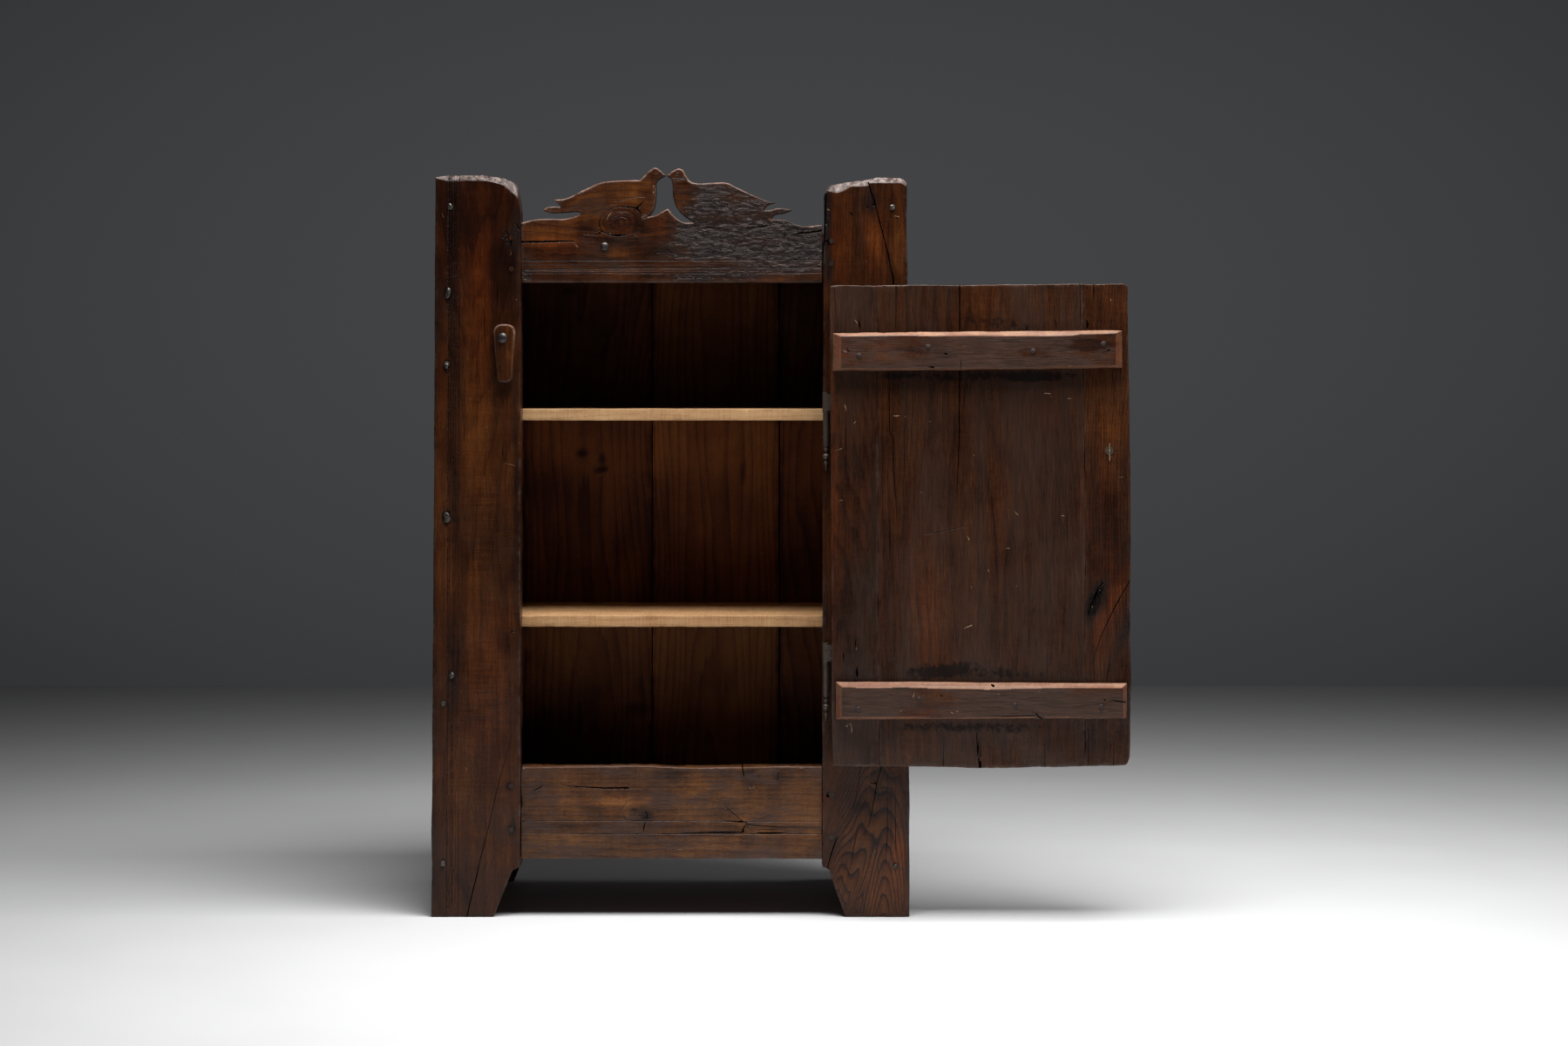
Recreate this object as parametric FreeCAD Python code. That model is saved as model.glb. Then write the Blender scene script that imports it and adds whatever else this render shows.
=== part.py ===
import FreeCAD, Part
import os

# A small plank cupboard on four hewn legs: one door of three boards, two shelves,
# and a pair of facing doves carved in the top rail.
# Millimetres. X runs to the viewer's right, Y from front to back, Z up.
# The origin is the middle of the footprint on the floor. The door stands open, folded flat.

Vector = FreeCAD.Vector
Z_AXIS = Vector(0, 0, 1)
Y_AXIS = Vector(0, 1, 0)
X_AXIS = Vector(1, 0, 0)
SIDES = {"left": -1, "right": 1}

# Whole carcass
case_width = 812.0  # across the front legs at their tops
case_depth = 410.0
cut_overrun = 20.0  # how far a cutting solid reaches past what it cuts
fit_gap = 0.3  # between pieces that move past each other
shelf_slack = 0.5  # all round a board that drops in

# Door opening
opening_bottom = 258.8
opening_height = 833.5

# Legs
leg_width = {"left": 148.0, "right": 145.0}
front_leg_thickness = 45.0
leg_top_rise = 187.0  # front leg tops over the door opening
leg_splay = 6.5  # outer edges lean out this far by the floor
foot_height = 83.0
foot_step = 13.0  # small shoulder over each foot
foot_cut = {"left": 46.0, "right": 36.0}  # how far in the sole's inner edge is
back_leg_width = 150.0
back_leg_thickness = 35.0
back_leg_rise = 103.0  # back leg tops over the door opening
hew_depth = 48.0  # zone over which a leg top is hewn
hew_bevel = 6.0

# Hewn tops: share of the width from the outer edge, share of the hewn zone cut away
hew_shares = {
    "left": ((0.0, 0.06), (0.13, 0.01), (0.55, 0.0), (0.79, 0.13), (0.93, 0.26), (1.0, 1.0)),
    "right": ((0.0, 0.32), (0.04, 0.16), (0.35, 0.07), (0.62, 0.22), (0.9, 0.38), (1.0, 0.75)),
}

# Scratched lines
groove_width = 2.6
groove_depth = 1.6
leg_groove_insets = (22.0, 30.5, 43.0)  # left leg, from its outer edge
crest_groove_rises = (18.5, 23.5, 39.5)  # from the crest rail's lower edge
bottom_groove_rises = (44.5, 66.0)

# Rails between the front legs
rail_recess = 4.0
crest_height = 198.0
bottom_rail_height = 159.8
tenon_thickness = 14.0
tenon_length = 50.0
tenon_shoulder = 13.0
crest_tenon_height = 80.0
rail_edge_round = 3.0

# Rails between the back legs
back_rail_height = 90.0
back_rail_top_drop = 15.0  # upper back rail under the back leg tops

# Sides and back
side_thickness = 36.0
side_bottom = 70.0
side_top_drop = 34.0  # under the front leg tops
side_split_share = 0.48
back_board_thickness = 22.0
back_board_bottom = 100.0
back_board_top_drop = 5.0
back_board_gap = 1.4
first_back_board_width = 90.0
back_board_width = 231.0

# Top, bottom and shelves
floor_board_thickness = 22.0
top_board_rise = 51.0  # its underside over the door opening
bottom_board_drop = 49.0  # its top under the door opening
board_split_share = 0.52
shelf_thickness = 20.5
upper_shelf_top = 874.0
lower_shelf_top = 515.5
shelf_front_inset = 50.0
shelf_edge_round = 4.0
cleat_thickness = 22.0
cleat_height = 30.0

# Pegs and nails
peg_radius = 4.5
peg_stand = 0.8
peg_inset = 16.0
nail_shank_radius = 2.4
nail_head_radius = 4.6
nail_head_height = 1.8
nail_point_length = 8.0
nail_bite = 38.0  # length in the second piece
small_nail_shank_radius = 1.6
small_nail_head_radius = 3.4
small_nail_head_height = 1.2
small_nail_bite = 15.0
big_nail_shank_radius = 3.0
big_nail_head_radius = 7.0
big_nail_head_height = 3.6

# Nail places: share of the side's thickness from the outer edge, share of the leg's height
leg_nail_shares = {
    "left": ((0.74, 0.955), (0.64, 0.839), (0.57, 0.744), (0.59, 0.538), (0.8, 0.325), (0.39, 0.287),
             (0.36, 0.072)),
    "right": ((0.67, 0.955), (0.6, 0.8), (0.66, 0.6), (0.56, 0.42), (0.6, 0.24), (0.53, 0.0675)),
}
back_leg_nail_shares = ((0.5, 0.92), (0.5, 0.66), (0.5, 0.38), (0.5, 0.12))
crest_peg_shares = {"left": (0.13, 0.8), "right": (0.24, 0.73)}
bottom_peg_shares = {"left": (0.29, 0.85), "right": (0.19, 0.74)}
back_peg_shares = (0.25, 0.75)
back_nail_height_shares = {"lower": 0.5, "upper": 0.92}  # up each back rail
back_nail_width_shares = (0.2, 0.8)  # across each back board
crest_nail_share = 0.277  # along the crest rail
cleat_nail_shares = (0.15, 0.85)  # along each cleat, one in each side board

# Door
door_thickness = 27.0
door_top_gap = 3.3
door_bottom_gap = 3.7
door_hinge_gap = 1.7
door_free_gap = 4.0
door_board_gap = 0.6
hinge_board_width = 81.0
free_board_width = 78.0
door_corner_round = 14.0
batten_thickness = 22.0
batten_flat = 12.0  # square part of its thickness, under the chamfers
batten_height = {"upper": 62.0, "lower": 65.0}
batten_centre = {"upper": 974.0, "lower": 378.0}
batten_hinge_inset = {"upper": 3.0, "lower": 8.5}
batten_free_inset = {"upper": 16.0, "lower": 8.0}
batten_top_chamfer = 7.5
batten_bottom_chamfer = 5.0
batten_end_chamfer = 12.0
# Share along the batten from the hinge edge, share up from its lower edge
batten_nail_shares = {
    "upper": ((0.07, 0.38), (0.32, 0.62), (0.7, 0.5), (0.955, 0.7)),
    "lower": ((0.055, 0.3), (0.275, 0.56), (0.62, 0.4), (0.93, 0.36)),
}

# Hinges
hinge_axis_over_leg = 6.0  # from the right leg's inner edge
hinge_axis_stand = 6.5  # in front of the leg's face
hinge_joint_height = {"upper": 868.5, "lower": 438.0}  # where the two halves meet
knuckle_radius = 6.0
knuckle_height = 34.5
barrel_radius = 5.0
barrel_height = 57.5
pin_radius = 2.6
pin_clearance = 0.05
pin_top_inset = 1.5
leaf_thickness = 2.0
leaf_end_inset = 3.0
leg_leaf_depth = 32.0
door_leaf_reach = 17.0  # along the door's face from the axis to the bend
door_leaf_depth = 20.0
leaf_pin_radius = 1.2
leaf_pin_length = 20.0

# Finial under each hinge: radius and place of its three beads, then its tip
finial_length = 42.0
bead_radii = (4.3, 5.7, 3.3)
bead_place_shares = (0.13, 0.42, 0.7)
bead_half_shares = (0.075, 0.11, 0.06)
finial_neck_radius = 2.7
finial_tip_radius = 0.8

# Turn button
button_pivot_inset = 30.5  # from the left leg's inner edge
button_pivot_height = 996.75
button_length = 101.0
button_width = 37.0
button_end_width = 24.0
button_pivot_drop = 24.0  # pivot under the button's top
button_pivot_offset = 3.0  # pivot left of the button's middle
button_thickness = 15.0
button_round = 2.0
button_nail_radius = 3.0
button_nail_clearance = 0.05
button_nail_head_radius = 8.7
button_nail_head_height = 4.5
button_nail_bite = 36.0

# Ring pull
pull_free_inset = 37.0  # from the door's free edge
pull_height = 804.0
pull_wire_radius = 1.0
pull_shank_radius = 2.0
pull_leg_up = 12.5
pull_leg_down = 17.5
pull_washer_radius = 7.5
pull_washer_thickness = 1.2
pull_eye_stand = 7.0
pull_eye_radius = 4.3
pull_eye_wire_radius = 1.5
pull_ring_radius = 20.0
pull_ring_wire_radius = 2.2

# Worked out from the above
front = -case_depth / 2
back = case_depth / 2
opening_top = opening_bottom + opening_height
leg_height = opening_top + leg_top_rise
back_leg_height = opening_top + back_leg_rise
opening_left = -case_width / 2 + leg_width["left"]
opening_right = case_width / 2 - leg_width["right"]
opening_width = opening_right - opening_left
leg_back = front + front_leg_thickness
back_leg_front = back - back_leg_thickness
back_board_front = back_leg_front - back_board_thickness
inner_half_width = case_width / 2 - side_thickness
rail_front = front + rail_recess
rail_thickness = front_leg_thickness - rail_recess
bottom_rail_bottom = opening_bottom - bottom_rail_height
top_board_bottom = opening_top + top_board_rise
bottom_board_top = opening_bottom - bottom_board_drop
axis_x = opening_right + hinge_axis_over_leg
axis_y = front - hinge_axis_stand
door_outer = 2 * axis_y - front  # the door's outer face while it stands open
door_inner = door_outer - door_thickness
door_hinge_edge = 2 * axis_x - (opening_right - door_hinge_gap)
door_free_edge = 2 * axis_x - (opening_left + door_free_gap)
door_bottom = opening_bottom + door_bottom_gap
door_top = opening_top - door_top_gap

# The crest rail's top edge from left to right, one smooth run per line.
# Each point is a share of the opening's width and a share of the crest rail's height.
crest_run_shares = (
    # sill by the left leg
    ((0.0, 0.519), (0.046, 0.547), (0.095, 0.555), (0.14, 0.553), (0.18, 0.576), (0.193, 0.588)),
    # slot under the tail, and the tail's underside
    ((0.193, 0.588), (0.1965, 0.604), (0.185, 0.62), (0.139, 0.613), (0.1, 0.609), (0.072, 0.629)),
    # lower tail feather, upper side
    ((0.072, 0.629), (0.087, 0.653), (0.104, 0.66), (0.132, 0.661)),
    ((0.132, 0.661), (0.109, 0.719)),
    # upper tail feather and the back
    ((0.109, 0.719), (0.153, 0.734), (0.212, 0.81), (0.268, 0.871), (0.329, 0.888), (0.395, 0.891)),
    # neck and head to the beak's tip
    ((0.395, 0.891), (0.417, 0.951), (0.436, 0.992), (0.446, 1.0), (0.461, 0.979), (0.478, 0.934)),
    # throat and breast
    ((0.478, 0.934), (0.461, 0.91), (0.4485, 0.873), (0.448, 0.79), (0.4455, 0.697), (0.438, 0.63),
     (0.42, 0.575), (0.406, 0.568)),
    # small peak between the birds
    ((0.406, 0.568), (0.441, 0.581), (0.465, 0.612), (0.4875, 0.644)),
    ((0.4875, 0.644), (0.503, 0.591), (0.531, 0.533), (0.554, 0.521), (0.574, 0.524)),
    # second bird: breast and throat
    ((0.574, 0.524), (0.545, 0.572), (0.523, 0.625), (0.5105, 0.687), (0.504, 0.765), (0.502, 0.861),
     (0.495, 0.908), (0.483, 0.931)),
    # head, nape, back and upper tail feather
    ((0.483, 0.931), (0.494, 0.951), (0.505, 0.973), (0.524, 0.992), (0.538, 0.975), (0.546, 0.935),
     (0.562, 0.88), (0.593, 0.862), (0.632, 0.867), (0.682, 0.867), (0.718, 0.823), (0.769, 0.76),
     (0.826, 0.699)),
    ((0.826, 0.699), (0.842, 0.697)),
    ((0.842, 0.697), (0.818, 0.675), (0.804, 0.627)),
    # lower tail feather
    ((0.804, 0.627), (0.828, 0.63), (0.851, 0.646), (0.881, 0.641), (0.899, 0.632)),
    ((0.899, 0.632), (0.874, 0.606), (0.844, 0.593), (0.828, 0.549)),
    # sill by the right leg
    ((0.828, 0.549), (0.856, 0.547), (0.88, 0.541), (0.911, 0.505), (0.945, 0.489), (1.0, 0.502)),
)


def box(x_low, x_high, y_low, y_high, z_low, z_high):
    corner = Vector(x_low, y_low, z_low)
    return Part.makeBox(x_high - x_low, y_high - y_low, z_high - z_low, corner)


def box_across(x_one, x_two, y_low, y_high, z_low, z_high):
    return box(min(x_one, x_two), max(x_one, x_two), y_low, y_high, z_low, z_high)


def front_prism(points, y_low, thickness):
    # a polygon of (x, z) points seen from the front, given a thickness along Y
    corners = [Vector(x, y_low, z) for x, z in points]
    face = Part.Face(Part.makePolygon(corners + corners[:1]))
    return face.extrude(Vector(0, thickness, 0))


def rod(start, direction, radius, length):
    return Part.makeCylinder(radius, length, start, direction)


def turned_to(shape, direction):
    # a shape made along +Y is turned so that +Y becomes the given direction
    turned = shape.copy()
    turned.Placement = FreeCAD.Placement(Vector(), FreeCAD.Rotation(Y_AXIS, direction))
    return turned


def nail(place, direction, length, shank_radius, head_radius, head_height):
    # a domed head in front of the surface at place, and a pointed shank driven along direction
    crown = Part.Arc(Vector(0, -head_height, 0), Vector(head_radius * 0.7, -head_height * 0.72, 0),
                     Vector(head_radius, -head_height * 0.2, 0)).toShape()
    corners = [Vector(head_radius, -head_height * 0.2, 0), Vector(head_radius, 0, 0),
               Vector(shank_radius, 0, 0), Vector(shank_radius, length - nail_point_length, 0),
               Vector(0, length, 0), Vector(0, -head_height, 0)]
    profile = Part.Wire([crown] + Part.makePolygon(corners).Edges)
    shape = turned_to(Part.Face(profile).revolve(Vector(), Y_AXIS, 360), direction)
    shape.translate(place)
    return Part.Solid(shape.Solids[0])


def common_nail(place, direction, length):
    return nail(place, direction, length, nail_shank_radius, nail_head_radius, nail_head_height)


def small_nail(place, direction, length):
    return nail(place, direction, length, small_nail_shank_radius, small_nail_head_radius,
                small_nail_head_height)


def v_groove_along_x(x_low, x_high, y_face, z):
    half = groove_width / 2
    corners = [Vector(x_low, y_face, z - half), Vector(x_low, y_face + groove_depth, z),
               Vector(x_low, y_face, z + half)]
    face = Part.Face(Part.makePolygon(corners + corners[:1]))
    return face.extrude(Vector(x_high - x_low, 0, 0))


def v_groove_along_z(x, y_face, z_low, z_high):
    half = groove_width / 2
    corners = [Vector(x - half, y_face, z_low), Vector(x, y_face + groove_depth, z_low),
               Vector(x + half, y_face, z_low)]
    face = Part.Face(Part.makePolygon(corners + corners[:1]))
    return face.extrude(Vector(0, 0, z_high - z_low))


def leg_outline(side, width, top_points):
    # corners from the outer edge at the floor, up, over the top and down the inner edge
    sign = SIDES[side]
    outer = case_width / 2
    inner = outer - width
    points = [(outer + leg_splay, 0)]
    points += top_points
    points += [(inner, foot_height), (inner + foot_step, foot_height), (inner + foot_cut[side], 0)]
    return [(sign * x, z) for x, z in points]


def front_leg(side):
    width = leg_width[side]
    top = [(case_width / 2 - across * width, leg_height - down * hew_depth)
           for across, down in hew_shares[side]]
    leg = front_prism(leg_outline(side, width, top), front, front_leg_thickness)
    hewn = [edge for edge in leg.Edges if is_hewn_edge(edge)]
    leg = leg.makeChamfer(hew_bevel, hewn)
    if side == "left":
        lines = [v_groove_along_z(-case_width / 2 + inset, front, -cut_overrun, leg_height + cut_overrun)
                 for inset in leg_groove_insets]
        leg = leg.cut(lines)
    return leg


def is_hewn_edge(edge):
    ends = [vertex.Point for vertex in edge.Vertexes]
    on_face = all(abs(point.y - front) < fit_gap for point in ends)
    high = all(point.z > leg_height - hew_depth - fit_gap for point in ends)
    return on_face and high


def back_leg(side):
    top = [(case_width / 2, back_leg_height), (case_width / 2 - back_leg_width, back_leg_height)]
    return front_prism(leg_outline(side, back_leg_width, top), back_leg_front, back_leg_thickness)


def crest_point(across, up, y):
    return Vector(opening_left + across * opening_width, y, opening_top + up * crest_height)


def smooth_edge(points):
    if len(points) == 2:
        return Part.makeLine(points[0], points[1])
    curve = Part.BSplineCurve()
    curve.interpolate(points)
    return curve.toShape()


def tenons(z_low, z_high, y_low, y_high, x_left, x_right):
    middle = (y_low + y_high) / 2
    near = middle - tenon_thickness / 2
    far = middle + tenon_thickness / 2
    return [box(x_left - tenon_length, x_left, near, far, z_low, z_high),
            box(x_right, x_right + tenon_length, near, far, z_low, z_high)]


def crest_tenons():
    low = opening_top + tenon_shoulder
    return tenons(low, low + crest_tenon_height, rail_front, leg_back, opening_left, opening_right)


def bottom_tenons():
    return tenons(bottom_rail_bottom + tenon_shoulder, opening_bottom - tenon_shoulder,
                  rail_front, leg_back, opening_left, opening_right)


def crest_rail():
    top_edges = [smooth_edge([crest_point(across, up, rail_front) for across, up in run])
                 for run in crest_run_shares]
    first_up = crest_run_shares[0][0][1]
    last_up = crest_run_shares[-1][-1][1]
    corners = [crest_point(1, last_up, rail_front), crest_point(1, 0, rail_front),
               crest_point(0, 0, rail_front), crest_point(0, first_up, rail_front)]
    outline = Part.Wire(top_edges + Part.makePolygon(corners).Edges)
    rail = Part.Face(outline).extrude(Vector(0, rail_thickness, 0))
    rail = rail.fuse(crest_tenons())
    lines = [v_groove_along_x(opening_left - cut_overrun, opening_right + cut_overrun, rail_front,
                              opening_top + rise) for rise in crest_groove_rises]
    return rail.cut(lines)


def bottom_rail():
    rail = box(opening_left, opening_right, rail_front, leg_back, bottom_rail_bottom, opening_bottom)
    worn = [edge for edge in rail.Edges if is_along_x_at(edge, rail_front, opening_bottom)]
    rail = rail.makeFillet(rail_edge_round, worn)
    rail = rail.fuse(bottom_tenons())
    lines = [v_groove_along_x(opening_left - cut_overrun, opening_right + cut_overrun, rail_front,
                              bottom_rail_bottom + rise) for rise in bottom_groove_rises]
    return rail.cut(lines)


def is_along_x_at(edge, y, z):
    ends = [vertex.Point for vertex in edge.Vertexes]
    return all(abs(point.y - y) < fit_gap and abs(point.z - z) < fit_gap for point in ends)


def back_rail_span(level):
    if level == "upper":
        high = back_leg_height - back_rail_top_drop
        return high - back_rail_height, high
    return back_board_bottom, back_board_bottom + back_rail_height


def back_tenons(level):
    low, high = back_rail_span(level)
    reach = case_width / 2 - back_leg_width
    return tenons(low + tenon_shoulder, high - tenon_shoulder, back_leg_front, back, -reach, reach)


def back_rail(level):
    low, high = back_rail_span(level)
    reach = case_width / 2 - back_leg_width
    return box(-reach, reach, back_leg_front, back, low, high).fuse(back_tenons(level))


def side_board(side, place):
    outer = SIDES[side] * case_width / 2
    inner = SIDES[side] * inner_half_width
    split = leg_back + side_split_share * (back_leg_front - leg_back)
    y_low, y_high = (leg_back, split) if place == "front" else (split, back_leg_front)
    return box_across(outer, inner, y_low, y_high, side_bottom, leg_height - side_top_drop)


def back_board_spans():
    # left and right edges of each board, from the left side to the right side
    left = -inner_half_width
    spans = [(left, left + first_back_board_width)]
    while spans[-1][1] + back_board_gap + back_board_width < inner_half_width - first_back_board_width:
        left = spans[-1][1] + back_board_gap
        spans.append((left, left + back_board_width))
    spans.append((spans[-1][1] + back_board_gap, inner_half_width))
    return spans


def back_board(span):
    return box(span[0], span[1], back_board_front, back_leg_front, back_board_bottom,
               back_leg_height - back_board_top_drop)


def floor_board(level, place):
    low = top_board_bottom if level == "top" else bottom_board_top - floor_board_thickness
    split = leg_back + board_split_share * (back_board_front - leg_back)
    y_low, y_high = (leg_back, split) if place == "front" else (split, back_board_front)
    reach = inner_half_width - shelf_slack
    return box(-reach, reach, y_low, y_high, low, low + floor_board_thickness)


def shelf(top):
    reach = inner_half_width - shelf_slack
    board = box(-reach, reach, front + shelf_front_inset, back_board_front, top - shelf_thickness, top)
    edge_y = front + shelf_front_inset
    worn = [edge for edge in board.Edges if is_along_x_at(edge, edge_y, top)]
    return board.makeFillet(shelf_edge_round, worn)


def cleat_tops():
    return {"top": top_board_bottom, "upper": upper_shelf_top - shelf_thickness,
            "lower": lower_shelf_top - shelf_thickness, "bottom": bottom_board_top - floor_board_thickness}


def cleat(level, side):
    high = cleat_tops()[level]
    wall = SIDES[side] * inner_half_width
    return box_across(wall, wall - SIDES[side] * cleat_thickness, front + shelf_front_inset,
                      back_board_front - shelf_slack, high - cleat_height, high)


def cleat_nails(level, side):
    # one nail into each side board, driven outwards from inside
    sign = SIDES[side]
    z = cleat_tops()[level] - cleat_height / 2
    x = sign * (inner_half_width - cleat_thickness)
    start = front + shelf_front_inset
    return [small_nail(Vector(x, start + share * (back_board_front - start), z), Vector(sign, 0, 0),
                       cleat_thickness + small_nail_bite) for share in cleat_nail_shares]


def floor_board_nails():
    # down through the ends of the top and bottom boards into their cleats
    split = leg_back + board_split_share * (back_board_front - leg_back)
    places = ((leg_back + split) / 2, (split + back_board_front) / 2)
    tops = (top_board_bottom + floor_board_thickness, bottom_board_top)
    return [small_nail(Vector(sign * (inner_half_width - cleat_thickness / 2), y, z), -Z_AXIS,
                       floor_board_thickness + small_nail_bite)
            for z in tops for y in places for sign in SIDES.values()]


def back_board_nails():
    heights = []
    for level, share in back_nail_height_shares.items():
        low, high = back_rail_span(level)
        heights.append(low + share * (high - low))
    return [small_nail(Vector(low + share * (high - low), back_board_front, z), Y_AXIS,
                       back_board_thickness + small_nail_bite)
            for low, high in back_board_spans() for share in back_nail_width_shares for z in heights]


def front_leg_nails():
    nails = []
    for side, sign in SIDES.items():
        for inset, up in leg_nail_shares[side]:
            place = Vector(sign * (case_width / 2 - inset * side_thickness), front, up * leg_height)
            nails.append(common_nail(place, Y_AXIS, front_leg_thickness + nail_bite))
    return nails


def back_leg_nails():
    nails = []
    for sign in SIDES.values():
        for inset, up in back_leg_nail_shares:
            place = Vector(sign * (case_width / 2 - inset * side_thickness), back, up * back_leg_height)
            nails.append(common_nail(place, -Y_AXIS, back_leg_thickness + nail_bite))
    return nails


def crest_nail():
    place = Vector(opening_left + crest_nail_share * opening_width, rail_front,
                   top_board_bottom + floor_board_thickness / 2)
    return nail(place, Y_AXIS, rail_thickness + nail_bite, big_nail_shank_radius, big_nail_head_radius,
                big_nail_head_height)


def peg(x, y_low, y_high, z, y_stand):
    return rod(Vector(x, y_low - y_stand, z), Y_AXIS, peg_radius, y_high - y_low + peg_stand)


def front_pegs():
    pegs = []
    crest_low = opening_top + tenon_shoulder
    bottom_low = bottom_rail_bottom + tenon_shoulder
    bottom_high = opening_bottom - tenon_shoulder
    edges = {"left": opening_left - peg_inset, "right": opening_right + peg_inset}
    for side, x in edges.items():
        heights = [crest_low + share * crest_tenon_height for share in crest_peg_shares[side]]
        heights += [bottom_low + share * (bottom_high - bottom_low) for share in bottom_peg_shares[side]]
        pegs += [peg(x, front, leg_back, z, peg_stand) for z in heights]
    return pegs


def back_pegs():
    pegs = []
    x = case_width / 2 - back_leg_width + peg_inset
    for level in ("lower", "upper"):
        low, high = back_rail_span(level)
        for share in back_peg_shares:
            pegs += [peg(sign * x, back_leg_front, back, low + share * (high - low), 0)
                     for sign in SIDES.values()]
    return pegs


def door_board_spans():
    first = door_hinge_edge + hinge_board_width
    last = door_free_edge - free_board_width
    half = door_board_gap / 2
    return {"hinge_side": (door_hinge_edge, first - half), "middle": (first + half, last - half),
            "free_side": (last + half, door_free_edge)}


def door_board(name):
    low, high = door_board_spans()[name]
    board = box(low, high, door_inner, door_outer, door_bottom, door_top)
    if name == "free_side":
        corner = [edge for edge in board.Edges
                  if all(abs(vertex.X - high) < fit_gap and abs(vertex.Z - door_top) < fit_gap
                         for vertex in edge.Vertexes)]
        board = board.makeFillet(door_corner_round, corner)
    return board


def batten_span(level):
    return door_hinge_edge + batten_hinge_inset[level], door_free_edge - batten_free_inset[level]


def batten(level):
    # a square slab with its four upper edges chamfered, lying on the door's inner face
    low, high = batten_span(level)
    bottom = batten_centre[level] - batten_height[level] / 2
    top = batten_centre[level] + batten_height[level] / 2
    slab = box(low, high, door_inner - batten_flat, door_inner, bottom, top)
    base = rectangle(low, high, bottom, top, door_inner - batten_flat)
    face = rectangle(low + batten_end_chamfer, high - batten_end_chamfer, bottom + batten_bottom_chamfer,
                     top - batten_top_chamfer, door_inner - batten_thickness)
    return slab.fuse(Part.makeLoft([base, face], True, True)).removeSplitter()


def rectangle(x_low, x_high, z_low, z_high, y):
    corners = [Vector(x_low, y, z_low), Vector(x_high, y, z_low), Vector(x_high, y, z_high),
               Vector(x_low, y, z_high)]
    return Part.makePolygon(corners + corners[:1])


def batten_nails():
    nails = []
    for level, shares in batten_nail_shares.items():
        low, high = batten_span(level)
        bottom = batten_centre[level] - batten_height[level] / 2
        for along, up in shares:
            x = low + batten_end_chamfer + along * (high - low - 2 * batten_end_chamfer)
            place = Vector(x, door_inner - batten_thickness, bottom + up * batten_height[level])
            nails.append(common_nail(place, Y_AXIS, batten_thickness + door_thickness * 0.8))
    return nails


def leg_hinge_half(level):
    # barrel with a bore right through, and a flat leaf let straight back into the leg
    joint = hinge_joint_height[level]
    low = joint - barrel_height
    barrel = rod(Vector(axis_x, axis_y, low), Z_AXIS, barrel_radius, barrel_height)
    leaf = leg_leaf(level)
    bore = rod(Vector(axis_x, axis_y, low - cut_overrun), Z_AXIS, pin_radius,
               barrel_height + 2 * cut_overrun)
    return barrel.fuse(leaf).cut(bore)


def leg_leaf(level):
    low = hinge_joint_height[level] - barrel_height + leaf_end_inset
    high = hinge_joint_height[level] - leaf_end_inset
    return box(axis_x - leaf_thickness / 2, axis_x + leaf_thickness / 2, axis_y, front + leg_leaf_depth,
               low, high)


def door_hinge_half(level):
    # knuckle that drops over the pin, and a leaf that runs along the door's face and turns into it
    low = hinge_joint_height[level] + fit_gap
    knuckle = rod(Vector(axis_x, axis_y, low), Z_AXIS, knuckle_radius, knuckle_height)
    strap, tongue = door_leaf(level)
    bore = rod(Vector(axis_x, axis_y, low - cut_overrun), Z_AXIS, pin_radius + pin_clearance,
               knuckle_height + 2 * cut_overrun)
    return knuckle.fuse([strap, tongue]).cut(bore)


def door_leaf(level):
    low = hinge_joint_height[level] + fit_gap + leaf_end_inset
    high = hinge_joint_height[level] + fit_gap + knuckle_height - leaf_end_inset
    bend = axis_x + door_leaf_reach
    near = door_outer + fit_gap
    strap = box(axis_x, bend, near, near + leaf_thickness, low, high)
    tongue = box(bend - leaf_thickness, bend, door_outer - door_leaf_depth, near + leaf_thickness,
                 low, high)
    return strap, tongue


def leg_leaf_pins(level):
    low = hinge_joint_height[level] - barrel_height
    return [rod(Vector(opening_right, front + leg_leaf_depth / 2, low + share * barrel_height), X_AXIS,
                leaf_pin_radius, leaf_pin_length) for share in (0.25, 0.75)]


def door_leaf_pins(level):
    low = hinge_joint_height[level] + fit_gap
    return [rod(Vector(door_hinge_edge, door_outer - door_leaf_depth / 2, low + share * knuckle_height),
                X_AXIS, leaf_pin_radius, leaf_pin_length) for share in (0.25, 0.75)]


def hinge_pin(level):
    # the pin and the turned finial under it, in one piece
    joint = hinge_joint_height[level]
    shoulder = joint - barrel_height
    top = joint + fit_gap + knuckle_height - pin_top_inset
    points = finial_profile()
    edges = [Part.makeLine(Vector(0, 0, shoulder - finial_length),
                           Vector(finial_tip_radius, 0, shoulder - finial_length))]
    for first, middle, last in points:
        edges.append(Part.Arc(*[Vector(radius, 0, shoulder - drop)
                                for radius, drop in (first, middle, last)]).toShape())
    corners = [Vector(finial_neck_radius, 0, shoulder), Vector(pin_radius, 0, shoulder),
               Vector(pin_radius, 0, top), Vector(0, 0, top), Vector(0, 0, shoulder - finial_length)]
    if abs(finial_neck_radius - pin_radius) < 1e-6:
        corners = corners[1:]
    edges += Part.makePolygon(corners).Edges
    outline = Part.Wire(Part.sortEdges(edges)[0])
    solid = Part.Solid(Part.Face(outline).revolve(Vector(), Z_AXIS, 360).Solids[0])
    solid.translate(Vector(axis_x, axis_y, 0))
    return solid


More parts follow.
